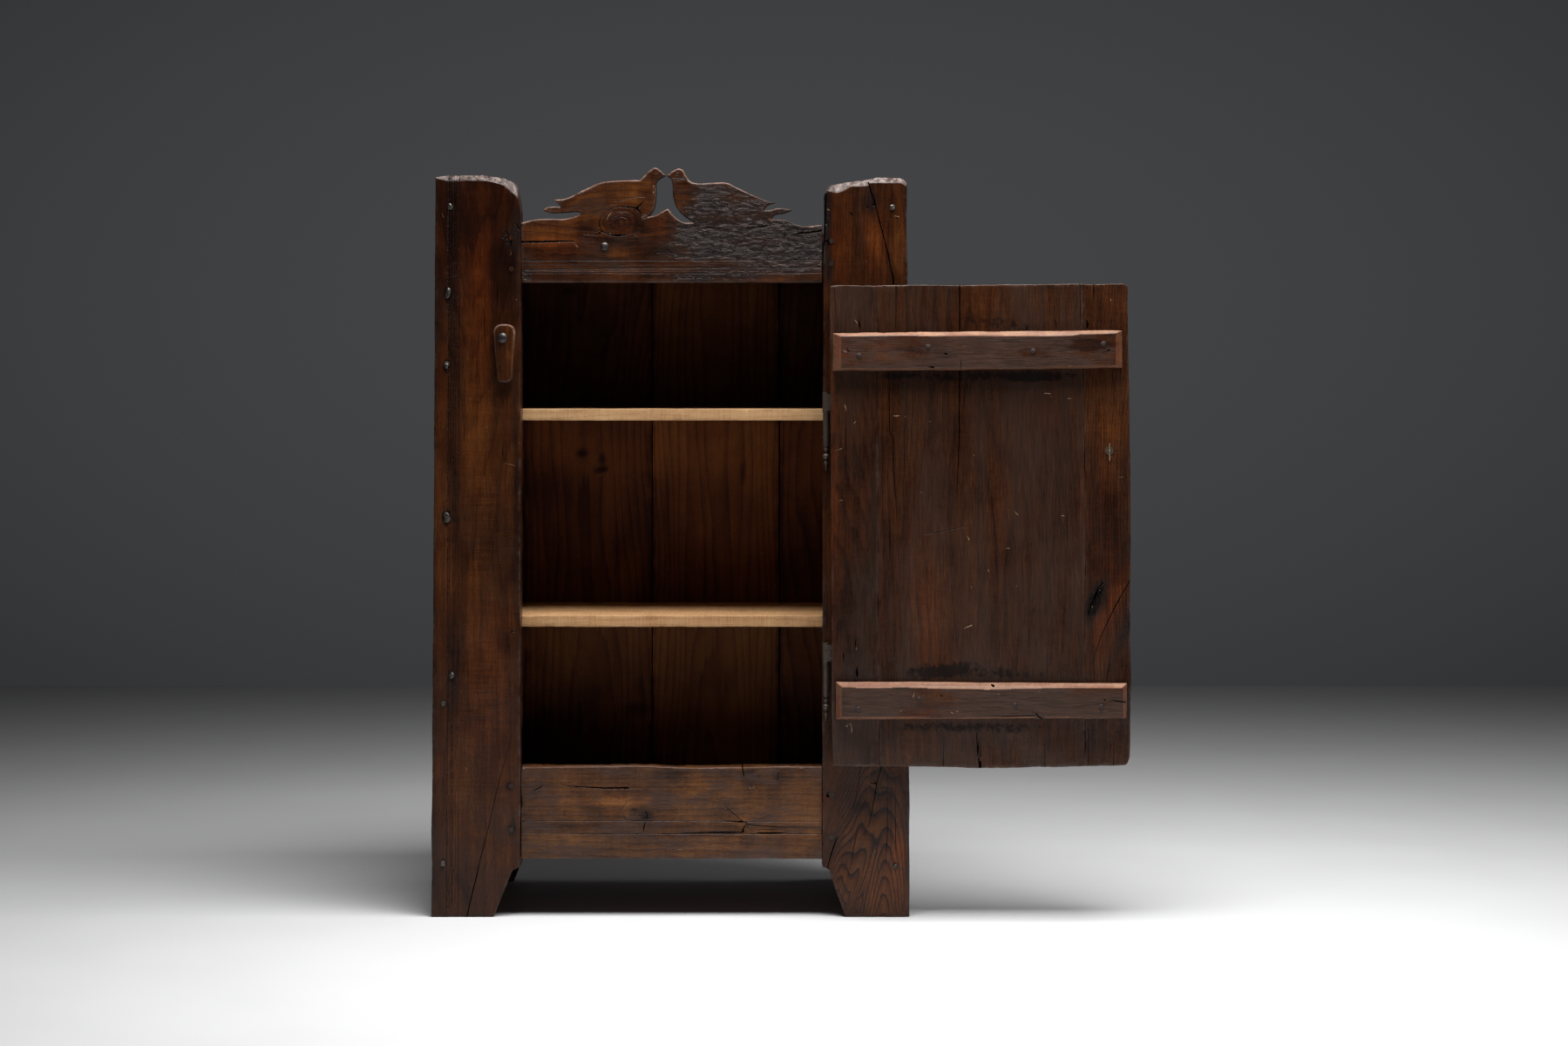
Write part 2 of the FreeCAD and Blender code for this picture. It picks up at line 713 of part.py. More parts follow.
def finial_profile():
    # arcs as (radius, drop) triples from the tip up: tip to bead, over each bead, and the necks between
    arcs = []
    below = (finial_tip_radius, finial_length)
    beads = list(zip(bead_radii, bead_place_shares, bead_half_shares))
    for radius, place, half in reversed(beads):
        lower = (finial_neck_radius * 0.85, (place + half) * finial_length)
        upper = (finial_neck_radius * 0.85, (place - half) * finial_length)
        middle = ((below[0] + lower[0]) / 2 - 0.1 * finial_neck_radius, (below[1] + lower[1]) / 2)
        arcs.append((below, middle, lower))
        arcs.append((lower, (radius, place * finial_length), upper))
        below = upper
    arcs.append((below, ((below[0] + finial_neck_radius) / 2 - 0.1 * finial_neck_radius, below[1] / 2),
                 (finial_neck_radius, 0)))
    return arcs


def button_place():
    return Vector(opening_left - button_pivot_inset, front - fit_gap, button_pivot_height)


def turn_button():
    # pear-shaped wooden button: an arched top that narrows to a square end
    pivot = button_place()
    back_y = pivot.y
    middle = pivot.x + button_pivot_offset
    top = pivot.z + button_pivot_drop
    bottom = top - button_length
    shoulder = top - button_width / 2
    corners = [Vector(middle - button_width / 2, back_y, shoulder),
               Vector(middle - button_end_width / 2, back_y, bottom),
               Vector(middle + button_end_width / 2, back_y, bottom),
               Vector(middle + button_width / 2, back_y, shoulder)]
    arch = Part.Arc(corners[3], Vector(middle, back_y, top), corners[0]).toShape()
    outline = Part.Wire(Part.makePolygon(corners).Edges + [arch])
    button = Part.Face(outline).extrude(Vector(0, -button_thickness, 0))
    rim = [edge for edge in button.Edges
           if all(abs(vertex.Y - (back_y - button_thickness)) < fit_gap for vertex in edge.Vertexes)]
    button = button.makeFillet(button_round, rim)
    hole = rod(pivot + Vector(0, cut_overrun, 0), -Y_AXIS, button_nail_radius + button_nail_clearance,
               button_thickness + 2 * cut_overrun)
    return button.cut(hole)


def button_nail():
    place = button_place() - Vector(0, button_thickness + fit_gap, 0)
    length = button_thickness + 2 * fit_gap + button_nail_bite
    return nail(place, Y_AXIS, length, button_nail_radius, button_nail_head_radius,
                button_nail_head_height)


def pull_place():
    # where the split pin leaves the door's outer face
    return Vector(door_free_edge - pull_free_inset, door_outer, pull_height)


def pull_pin():
    # split pin: an eye outside, a shank through the door, and two legs clenched flat inside
    place = pull_place()
    legs_y = door_inner - pull_washer_thickness - pull_wire_radius
    shank_end = legs_y - pull_wire_radius
    shank = rod(Vector(place.x, shank_end, place.z), Y_AXIS, pull_shank_radius,
                place.y + pull_eye_stand - pull_eye_radius - shank_end)
    legs = rod(Vector(place.x, legs_y, place.z - pull_leg_down), Z_AXIS, pull_wire_radius,
               pull_leg_down + pull_leg_up)
    eye = Part.makeTorus(pull_eye_radius, pull_eye_wire_radius,
                         Vector(place.x, place.y + pull_eye_stand, place.z), X_AXIS)
    return shank.fuse([legs, eye])


def pull_washer():
    place = pull_place()
    start = Vector(place.x, door_inner - pull_washer_thickness, place.z)
    disc = rod(start, Y_AXIS, pull_washer_radius, pull_washer_thickness)
    return disc.cut(rod(start - Vector(0, cut_overrun, 0), Y_AXIS, pull_shank_radius, 2 * cut_overrun))


def pull_ring():
    # hangs in the eye, its wire a hair above the eye's lower side
    place = pull_place()
    wire_z = place.z - (pull_eye_radius - pull_eye_wire_radius - pull_ring_wire_radius - fit_gap)
    centre = Vector(place.x, place.y + pull_eye_stand, wire_z - pull_ring_radius)
    return Part.makeTorus(pull_ring_radius, pull_ring_wire_radius, centre, Y_AXIS)


def drilled(piece, tools):
    # the piece with a hole for each peg, nail, tenon or leaf that reaches into it
    inside = [tool for tool in tools if piece.BoundBox.intersect(tool.BoundBox)]
    return piece.cut(inside) if inside else piece


def fasteners():
    groups = {
        "front_pegs": front_pegs(),
        "back_pegs": back_pegs(),
        "front_leg_nails": front_leg_nails(),
        "back_leg_nails": back_leg_nails(),
        "crest_nail": [crest_nail()],
        "back_board_nails": back_board_nails(),
        "floor_board_nails": floor_board_nails(),
        "cleat_nails": [one for level in cleat_tops() for side in SIDES for one in cleat_nails(level, side)],
        "hinge_leg_pins": leg_leaf_pins("upper") + leg_leaf_pins("lower"),
        "button_nail": [button_nail()],
    }
    return groups


def wooden_carcass():
    pieces = {}
    for side in SIDES:
        pieces["leg_front_" + side] = front_leg(side)
        pieces["leg_back_" + side] = back_leg(side)
        for place in ("front", "back"):
            pieces["side_board_" + side + "_" + place] = side_board(side, place)
        for level in cleat_tops():
            pieces["cleat_" + level + "_" + side] = cleat(level, side)
    pieces["crest_rail"] = crest_rail()
    pieces["bottom_rail"] = bottom_rail()
    for level in ("upper", "lower"):
        pieces["back_rail_" + level] = back_rail(level)
    for number, span in enumerate(back_board_spans(), 1):
        pieces["back_board_" + str(number)] = back_board(span)
    for level in ("top", "bottom"):
        for place in ("front", "back"):
            pieces[level + "_board_" + place] = floor_board(level, place)
    pieces["shelf_upper"] = shelf(upper_shelf_top)
    pieces["shelf_lower"] = shelf(lower_shelf_top)
    return pieces


def carcass():
    groups = fasteners()
    pieces = wooden_carcass()
    driven = [one for group in groups.values() for one in group]
    for level in ("upper", "lower"):
        groups["hinge_" + level + "_leg_half"] = [drilled(leg_hinge_half(level), groups["hinge_leg_pins"])]
    leaves = [leg_leaf(level) for level in ("upper", "lower")]
    joints = crest_tenons() + bottom_tenons()
    back_joints = back_tenons("upper") + back_tenons("lower")
    for name, piece in pieces.items():
        cutters = list(driven)
        if name.startswith("leg_front"):
            cutters += joints + leaves
        if name.startswith("leg_back"):
            cutters += back_joints
        pieces[name] = drilled(piece, cutters)
    pieces.update({name: Part.Compound(group) if len(group) > 1 else group[0]
                   for name, group in groups.items()})
    for level in ("upper", "lower"):
        pieces["hinge_pin_" + level] = hinge_pin(level)
    return pieces


def door():
    nails = batten_nails()
    pins = door_leaf_pins("upper") + door_leaf_pins("lower")
    clench = pull_pin()
    leaves = [tongue for level in ("upper", "lower") for tongue in door_leaf(level)]
    pieces = {"door_board_" + name: drilled(door_board(name), nails + pins + leaves + [clench])
              for name in door_board_spans()}
    for level in ("upper", "lower"):
        pieces["door_batten_" + level] = drilled(batten(level), nails)
        pieces["hinge_" + level + "_door_half"] = drilled(door_hinge_half(level), pins)
    pieces["batten_nails"] = Part.Compound(nails)
    pieces["hinge_door_pins"] = Part.Compound(pins)
    pieces["pull_pin"] = clench
    pieces["pull_washer"] = pull_washer()
    return pieces


def main():
    os.makedirs("parts", exist_ok=True)
    pieces = carcass()
    pieces.update(door())
    pieces["turn_button"] = turn_button()
    pieces["pull_ring"] = pull_ring()
    for name, shape in sorted(pieces.items()):
        shape.exportStep("parts/" + name + ".step")
        print(name, len(shape.Solids), round(shape.Volume), shape.isValid())
    print(len(pieces), "nodes")


main()
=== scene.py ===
# Looks of a small plank cupboard: hewn legs, a carved top rail with two doves, one open door.
# Metres. X runs to the viewer's right, Y from front to back, Z up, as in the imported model.
import math

import bpy
import numpy as np
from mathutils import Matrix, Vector
from mathutils.geometry import delaunay_2d_cdt


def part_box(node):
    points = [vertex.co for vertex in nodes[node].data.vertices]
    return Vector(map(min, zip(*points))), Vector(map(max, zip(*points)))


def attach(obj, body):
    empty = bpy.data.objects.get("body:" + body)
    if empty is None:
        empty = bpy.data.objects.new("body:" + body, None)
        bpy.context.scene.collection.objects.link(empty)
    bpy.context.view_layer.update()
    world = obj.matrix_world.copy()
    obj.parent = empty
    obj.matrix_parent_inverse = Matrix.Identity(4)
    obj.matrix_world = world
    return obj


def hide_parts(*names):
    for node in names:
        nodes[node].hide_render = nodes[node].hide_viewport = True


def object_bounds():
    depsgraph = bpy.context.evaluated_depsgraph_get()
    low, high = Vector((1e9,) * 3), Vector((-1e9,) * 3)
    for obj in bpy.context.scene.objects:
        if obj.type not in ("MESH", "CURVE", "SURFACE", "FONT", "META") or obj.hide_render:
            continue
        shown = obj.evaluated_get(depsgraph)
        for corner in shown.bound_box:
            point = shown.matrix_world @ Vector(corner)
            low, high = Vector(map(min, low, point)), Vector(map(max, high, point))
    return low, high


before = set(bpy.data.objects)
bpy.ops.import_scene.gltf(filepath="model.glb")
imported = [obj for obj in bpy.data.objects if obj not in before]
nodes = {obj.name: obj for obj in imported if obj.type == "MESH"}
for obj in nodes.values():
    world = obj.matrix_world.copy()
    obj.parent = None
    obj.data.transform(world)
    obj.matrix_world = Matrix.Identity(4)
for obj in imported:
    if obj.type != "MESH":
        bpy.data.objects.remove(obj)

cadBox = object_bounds()
coarser = 1.0
made = []

# The photograph: where its camera stands, how far the leg faces are from it, the width of one pixel
# there, the image's middle, and the front faces of the legs, the rails, the door and its battens
eye = (0.195, -5.705, 0.959)
eyeToFront = 5.5
pixel = 0.0015
imageMiddle = (900, 413)
legFace = -0.205
railFace = -0.201
doorFace = -0.245
battenFace = -0.267


# Random fields and small sums

def ripple(points, wavelength, seed, waves=10):
    # a smooth random field of about -1 to 1: the sum of sine waves in random directions
    rng = np.random.default_rng(seed)
    heading = rng.normal(size=(waves, 3))
    heading /= np.linalg.norm(heading, axis=1, keepdims=True)
    pace = 2 * np.pi / np.broadcast_to(np.asarray(wavelength, float), 3)
    turns = heading * pace * rng.uniform(0.7, 1.5, (waves, 1))
    phases = points @ turns.T + rng.uniform(0, 2 * np.pi, waves)
    return np.sin(phases).sum(1) * (1.0 / waves) ** 0.5


# the lattice of crumble: how many heights, the three numbers that pick one for a corner, and how
# each layer is finer, moved aside and weaker than the one before
lattice = {"heights": 4096, "keys": (73856093, 19349663, 83492791), "finer": 2.1, "aside": 17.3,
           "weaker": 0.55}


def crumble(points, size, seed, layers=3):
    # layered noise of about -1 to 1: random heights at the corners of a lattice, blended smoothly
    # between them
    heights = np.random.default_rng(seed).uniform(-1, 1, lattice["heights"])
    keyX, keyY, keyZ = lattice["keys"]
    cell, weight, total = points / np.asarray(size, float), 1.0, np.zeros(len(points))
    for _ in range(layers):
        base = np.floor(cell).astype(np.int64)
        t = cell - base
        t = t * t * (3 - 2 * t)
        for corner in range(8):
            bit = np.array([corner & 1, corner >> 1 & 1, corner >> 2 & 1])
            at = base + bit
            pick = (at[:, 0] * keyX ^ at[:, 1] * keyY ^ at[:, 2] * keyZ) & (lattice["heights"] - 1)
            total += weight * np.prod(np.where(bit, t, 1 - t), axis=1) * heights[pick]
        cell, weight = cell * lattice["finer"] + lattice["aside"], weight * lattice["weaker"]
    return total


def ease(value, start, end):
    # 0 before start, 1 after end, smooth between them
    t = np.clip((value - start) / (end - start), 0, 1)
    return t * t * (3 - 2 * t)


def through(value, pairs):
    # straight lines through the pairs of (place, height)
    table = np.array(sorted(pairs), float)
    return np.interp(value, table[:, 0], table[:, 1])


def pixelAt(y):
    # the width of one pixel of the photograph on the upright plane at y
    return pixel * (y - eye[1]) / eyeToFront


def seen(px, py, y=legFace):
    # where a point of the photograph lies on the upright plane at y
    scale = pixelAt(y)
    return eye[0] + (px - imageMiddle[0]) * scale, eye[2] - (py - imageMiddle[1]) * scale


def marksAt(y, lines):
    # cracks, grooves or scratches: points of the photograph, each with a half width in millimetres
    return [[(*seen(px, py, y), half / 1000) for px, py, half in line] for line in lines]


def strokesAt(y, strokes):
    # soft ovals in the photograph's points: centre, half lengths, amount, turn
    scale = pixelAt(y)
    return [(*seen(s[0], s[1], y), s[2] * scale, s[3] * scale, *s[4:]) for s in strokes]


def edgeAt(y, points, along):
    # an outline for through(): along 0 gives height over width, along 2 gives width over height
    places = [seen(px, py, y) for px, py in points]
    return [(x, z) if along == 0 else (z, x) for x, z in places]


uprightLines = ("leftEdge", "rightEdge", "hingeEdge", "freeEdge", "leftCut", "rightCut")
levelLines = ("topLine", "bevelLine", "bottomLine", "topCut", "bottomCut")
thinMarks = ("cracks", "grooves", "scratches")


def placed(y, **lists):
    # every list of the photograph's points, moved to the upright plane at y; all others are strokes
    result = {}
    for name, given in lists.items():
        if name in uprightLines or name in levelLines:
            result[name] = edgeAt(y, given, 0 if name in levelLines else 2)
        else:
            result[name] = (marksAt if name in thinMarks else strokesAt)(y, given)
    return result


# Boards: a block whose skin is six joined grids, then bent, worn and marked

def quads(grid):
    # the cells of a grid of point numbers, turned the way that its rows and columns turn
    return np.stack([grid[:-1, :-1], grid[1:, :-1], grid[1:, 1:], grid[:-1, 1:]], -1).reshape(-1, 4)


def blockSkin(low, high, step, radius, fine=()):
    # each corner is rounded by pushing its points out to radius from the block shrunk by radius;
    # fine lists zones of closer lines: (axis, start, end, step)
    lines = []
    for axis in range(3):
        length = high[axis] - low[axis]
        count = max(2, int(round((length - 2 * radius) / (step[axis] * coarser))) + 1)
        near = radius * np.array([0.0, 0.3, 0.65])
        inside = np.linspace(radius, length - radius, count)
        line = low[axis] + np.concatenate([near, inside, length - near[::-1]])
        for zoneAxis, start, end, closer in fine:
            if zoneAxis == axis:
                between = (line > start) & (line < end)
                count = max(2, int(round((end - start) / (closer * coarser))) + 1)
                line = np.sort(np.concatenate([line[~between], np.linspace(start, end, count)]))
        lines.append(line)
    onSkin = np.zeros([len(line) for line in lines], bool)
    onSkin[[0, -1]] = True
    onSkin[:, [0, -1]] = True
    onSkin[:, :, [0, -1]] = True
    ids = (np.cumsum(onSkin.ravel()) - 1).reshape(onSkin.shape)
    where = np.argwhere(onSkin)
    points = np.stack([lines[axis][where[:, axis]] for axis in range(3)], 1)
    core = np.clip(points, low + radius, high - radius)
    normals = points - core
    normals /= np.linalg.norm(normals, axis=1, keepdims=True)
    faces = np.concatenate([quads(ids[:, :, -1]), quads(ids[:, :, 0].T), quads(ids[-1]),
                            quads(ids[0].T), quads(ids[:, -1].T), quads(ids[:, 0])])
    return core + normals * radius, normals, faces


markReach = 0.012
noMark = -0.003


def nearestLine(flat, lines):
    # for each point: the signed distance to the nearest of the lines in millimetres, and the
    # line's half width there, which falls away past the line's ends; noMark beyond markReach
    side, half, best = np.zeros(len(flat)), np.zeros(len(flat)), np.full(len(flat), 1.0)
    for points in lines:
        line = np.array(points, float)
        last = len(line) - 2
        for k in range(len(line) - 1):
            start, end = line[k], line[k + 1]
            run = end[:2] - start[:2]
            length = math.hypot(*run)
            raw = (flat - start[:2]) @ run / length ** 2
            share = np.clip(raw, 0, 1)
            gap = flat - start[:2] - share[:, None] * run
            away = np.linalg.norm(gap, axis=1)
            before, after = np.maximum(-raw, 0) * length, np.maximum(raw - 1, 0) * length
            past = before * (k == 0) + after * (k == last)
            sign = np.where(run[0] * gap[:, 1] > run[1] * gap[:, 0], 1.0, -1.0)
            nearer = away < best
            best = np.where(nearer, away, best)
            side = np.where(nearer, away * sign, side)
            half = np.where(nearer, start[2] + share * (end[2] - start[2]) - past, half)
    return side * 1000, np.where(best < markReach, half, noMark) * 1000


def brushed(flat, strokes):
    # the sum of soft oval strokes: (a, b, half length a, half length b, amount, turn in degrees)
    total = np.zeros(len(flat))
    for stroke in strokes:
        a, b, lengthA, lengthB, amount = stroke[:5]
        turn = math.radians(stroke[5]) if len(stroke) > 5 else 0.0
        da, db = flat[:, 0] - a, flat[:, 1] - b
        u = (da * math.cos(turn) + db * math.sin(turn)) / lengthA
        v = (db * math.cos(turn) - da * math.sin(turn)) / lengthB
        total += amount * np.exp(-(u * u + v * v) ** 1.5)
    return total


# A board's usual settings. axes are those along the grain, across it and through the board. heart
# is where the rings' centre lies, across and through. low and high move the block's sides. Reaches
# are distances from an edge, waves are wavelengths, and patches are the sizes of what breaks up
# wear, grime and grooves.
plainBoard = {
    "axes": (2, 0, 1), "seed": 1, "low": {}, "high": {}, "step": (0.006, 0.006, 0.006),
    "edge": 0.002, "fine": (), "hew": 0.0006, "hewLength": (0.08, 0.08, 0.12), "chip": 0.0012,
    "chipLength": 0.016, "chipReach": 0.0028, "heart": (0.0, 0.2), "ring": 0.006,
    "ringWave": 0.35, "alongWaves": 0.45, "acrossWaves": 0.05, "wander": 0.008,
    "heartWaves": (0.9, 1.3), "deeper": 1.3, "taper": 0.0, "footTaper": 0.0, "lean": 0.0,
    "leanFrom": 0.0, "leanHold": 0.0, "leanHoldOver": (0.005, 0.045), "knots": (),
    "knotLength": 2.6, "knotStretch": 1.25, "knotRings": 3.5, "knotRim": (0.75, 1.15),
    "wear": 0.4, "wearReach": 0.0022, "wearPatch": 0.03, "grimeReach": 0.007,
    "grimePatch": 0.04, "groovePatch": 0.012, "edgeGrime": 0.2, "tone": 0.0,
    "shownTo": (9.0, 10.0), "tones": (), "reds": (), "stains": (), "weathered": (),
    "chattered": (), "ringed": (), "cracks": (), "grooves": (), "scratches": (),
}


def grainField(points, s):
    # growth rings are circles round a wandering heart line, which may lean; knots push the
    # grain aside and carry rings of their own
    axes, seed, heart = s["axes"], s["seed"], s["heart"]
    along, across, depth = (points[:, axis].copy() for axis in axes)
    below = np.minimum(along - s["leanFrom"], 0)
    drift = s["lean"] * below
    held = s["leanHold"] * ease(across - drift - heart[0], *s["leanHoldOver"])
    across = across - drift * (1 - held)
    for a0, c0, radius in s["knots"]:
        da, dc = along - a0, across - c0
        hold = radius * np.exp(-(da / (s["knotLength"] * radius)) ** 2)
        across = c0 + dc * np.sqrt(dc * dc / (dc * dc + hold * hold + 1e-9))
    only = np.zeros((len(points), 3))
    only[:, 0] = along
    wavesC, wavesD = s["heartWaves"]
    heartC = heart[0] + s["wander"] * ripple(only, wavesC, seed)
    heartD = heart[1] + s["wander"] * s["deeper"] * ripple(only, wavesD, seed + 1)
    heartD = heartD + s["taper"] * along + s["footTaper"] * below
    rings = np.hypot(across - heartC, depth - heartD) / s["ring"]
    stretch = np.where(np.arange(3) == axes[0], s["alongWaves"], s["acrossWaves"])
    rings += s["ringWave"] * ripple(points, stretch, seed + 2)
    for a0, c0, radius in s["knots"]:
        da, dc = (points[:, axes[0]] - a0) / s["knotStretch"], points[:, axes[1]] - c0
        away = np.hypot(da, dc) / radius
        inside = 1 - ease(away, *s["knotRim"])
        rings = rings * (1 - inside) + (rings.mean() + s["knotRings"] * away) * inside
    return rings, across, depth, along


def writeMesh(name, points, faces, body, replaces, slot, material, floats=(), vectors=()):
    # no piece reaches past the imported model's box
    points = np.clip(points, np.array(cadBox[0]), np.array(cadBox[1]))
    mesh = bpy.data.meshes.new(name)
    mesh.vertices.add(len(points))
    mesh.vertices.foreach_set("co", np.asarray(points, np.float32).ravel())
    size = faces.shape[1]
    mesh.loops.add(faces.size)
    mesh.loops.foreach_set("vertex_index", faces.astype(np.int32).ravel())
    mesh.polygons.add(len(faces))
    mesh.polygons.foreach_set("loop_start", np.arange(0, faces.size, size, dtype=np.int32))
    mesh.polygons.foreach_set("use_smooth", np.ones(len(faces), bool))
    for title, values in floats:
        mesh.attributes.new(title, "FLOAT", "POINT").data.foreach_set(
            "value", np.asarray(values, np.float32))
    for title, values in vectors:
        mesh.attributes.new(title, "FLOAT_VECTOR", "POINT").data.foreach_set(
            "vector", np.asarray(np.stack(values, 1), np.float32).ravel())
    mesh.update()
    mesh.validate()
    piece = bpy.data.objects.new(name, mesh)
    bpy.context.scene.collection.objects.link(piece)
    mesh.materials.append(material)
    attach(piece, body)
    if replaces:
        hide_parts(*replaces)
    made.append(piece)
    return piece


def finishFields(nominal, toEdge, s, extra):
    # what the wood's finish reads at each point: grain, wear with the painted highlights that ride
    # on it, tone with painted light and shade, red, dark marks with painted shadow, cracks,
    # grooves, scratches, where the plane left chatter across the grain, and where the rings are
    # strong
    s = {**plainBoard, **s}
    depthAxis, seed = s["axes"][2], s["seed"]
    flat = nominal[:, [axis for axis in (0, 1, 2) if axis != depthAxis]]
    rings, across, depth, along = grainField(nominal, s)
    shown = 1 - ease(nominal[:, depthAxis], *s["shownTo"])
    patchy = 0.5 + 0.7 * crumble(nominal, s["wearPatch"], seed + 5)
    wear = np.exp(-np.maximum(toEdge, 0) / s["wearReach"]) * s["wear"]
    wear = np.clip(wear * patchy, 0, 1) + extra.get("wear", 0)
    grime = np.exp(-np.maximum(toEdge, 0) / s["grimeReach"])
    grime = grime * (0.55 + 0.6 * crumble(nominal, s["grimePatch"], seed + 7))
    tone = brushed(flat, s["tones"]) + s["tone"] + extra.get("tone", 0)
    tone = tone - s["edgeGrime"] * np.clip(grime, 0, 1)
    red = brushed(flat, s["reds"]) + extra.get("red", 0)
    stain = brushed(flat, s["stains"]) * shown
    weather = brushed(flat, s["weathered"]) * shown
    crackSide, crackHalf = nearestLine(flat, s["cracks"])
    grooveSide, grooveHalf = nearestLine(flat, s["grooves"])
    grooveHalf = grooveHalf * (0.85 + 0.35 * crumble(nominal, s["groovePatch"], seed + 6))
    scratchSide, scratchHalf = nearestLine(flat, s["scratches"])
    scratchHalf = scratchHalf - 3 * (1 - shown)
    chattered, ringed = brushed(flat, s["chattered"]), brushed(flat, s["ringed"])
    return ([("ringNumber", rings), ("weathering", np.clip(weather, 0, 1))],
            [("grainAt", (across, depth, along)), ("handMarks", (np.clip(wear, 0, 1), tone, red)),
             ("crackAt", (crackSide, crackHalf, np.clip(stain, 0, 1))),
             ("grooveAt", (grooveSide, grooveHalf, scratchSide)),
             ("scratchAt", (scratchHalf, chattered, ringed))])


def board(node, s, body="carcass", slot="board_wood", material=None, bend=None):
    # one board in the place of its CAD node; s holds its settings, bend gives it its real outline
    s = {**plainBoard, **s}
    low, high = (np.array(corner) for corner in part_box(node))
    for side, corner in (("low", low), ("high", high)):
        for axis, value in s[side].items():
            corner[axis] = value
    points, normals, faces = blockSkin(low, high, s["step"], s["edge"], s["fine"])
    nominal, seed = points.copy(), s["seed"]
    toEdge = np.sort(np.minimum(nominal - low, high - nominal), axis=1)[:, 1]
    waves = ripple(nominal, s["hewLength"], seed + 9)
    hollow = s["hew"] * (0.5 + 0.5 * waves)
    chips = np.clip(crumble(nominal, s["chipLength"], seed + 11) * 1.6, 0, 1.5)
    worn = s["chip"] * np.exp(-np.maximum(toEdge, 0) / s["chipReach"]) * chips
    points = points - normals * (hollow + worn)[:, None]
    extra = {}
    if bend is not None:
        points = bend(points, nominal, extra)
    floats, vectors = finishFields(points, toEdge, s, extra)
    return writeMesh(node + "_dressed", points, faces, body, [node], slot, material, floats,
                     vectors)


# Materials: a socket wrapper, then one recipe for wood and one for iron

class Wire:
    # a node tree with one of its sockets; sums on it add Math nodes
    def __init__(self, tree, socket=None):
        self.tree, self.socket = tree, socket

    def node(self, kind, settings=None, sockets=None, out=0):
        added = self.tree.nodes.new(kind)
        for key, value in (settings or {}).items():
            if key == "stops":
                ramp = added.color_ramp
                while len(ramp.elements) < len(value):
                    ramp.elements.new(0.5)
                for element, (place, colour) in zip(ramp.elements, value):
                    element.position = place
                    element.color = (*colour, 1)
            else:
                setattr(added, key, value)
        for key, value in (sockets or {}).items():
            if isinstance(value, Wire):
                self.tree.links.new(value.socket, added.inputs[key])
            else:
                added.inputs[key].default_value = value
        return Wire(self.tree, added.outputs[out])

    def sum(self, operation, first, second=0.0, clamp=False):
        return self.node("ShaderNodeMath", {"operation": operation, "use_clamp": clamp},
                         {0: first, 1: second})

    def __add__(self, other): return self.sum("ADD", self, other)
    def __radd__(self, other): return self.sum("ADD", other, self)
    def __sub__(self, other): return self.sum("SUBTRACT", self, other)
    def __rsub__(self, other): return self.sum("SUBTRACT", other, self)
    def __mul__(self, other): return self.sum("MULTIPLY", self, other)
    def __rmul__(self, other): return self.sum("MULTIPLY", other, self)
    def __pow__(self, other): return self.sum("POWER", self, other)

    def size(self): return self.sum("ABSOLUTE", self)
    def part(self): return self.sum("FRACT", self)
    def held(self): return self.sum("ADD", self, 0.0, clamp=True)

    def over(self, start, end):
        # 0 below start, 1 above end, smooth between
        return self.node("ShaderNodeMapRange", {"interpolation_type": "SMOOTHSTEP", "clamp": True},
                         {"Value": self, "From Min": start, "From Max": end})

    def split(self):
        return [self.node("ShaderNodeSeparateXYZ", None, {0: self}, out=k) for k in range(3)]

    def joined(self, x, y, z):
        return self.node("ShaderNodeCombineXYZ", None, {0: x, 1: y, 2: z})

    def attribute(self, name, out="Vector"):
        return self.node("ShaderNodeAttribute", {"attribute_name": name}, out=out)

    def noise(self, at, scale, detail=2.0, rough=0.5):
        return self.node("ShaderNodeTexNoise", None,
                         {"Vector": at, "Scale": scale, "Detail": detail, "Roughness": rough})

    def tint(self, amount, below, above, blend="MIX"):
        # below where amount is 0, above where it is 1; both are colours
        below, above = (v if isinstance(v, Wire) else (*v, 1) for v in (below, above))
        settings = {"data_type": "RGBA", "blend_type": blend, "clamp_factor": True}
        return self.node("ShaderNodeMix", settings, {0: amount, 6: below, 7: above}, out=2)


def newMaterial(name):
    material = bpy.data.materials.new(name)
    material.use_nodes = True
    material.node_tree.nodes.clear()
    return material, Wire(material.node_tree)


def finishMaterial(w, colour, roughness, height=None, settings=None):
    # height is in metres over the surface
    sockets = {"Base Color": colour, "Roughness": roughness, **(settings or {})}
    if height is not None:
        bump = {"Strength": 1.0, "Distance": 1.0, "Height": height}
        sockets["Normal"] = w.node("ShaderNodeBump", None, bump)
    shader = w.node("ShaderNodeBsdfPrincipled", None, sockets)
    w.tree.links.new(shader.socket, w.tree.nodes.new("ShaderNodeOutputMaterial").inputs[0])


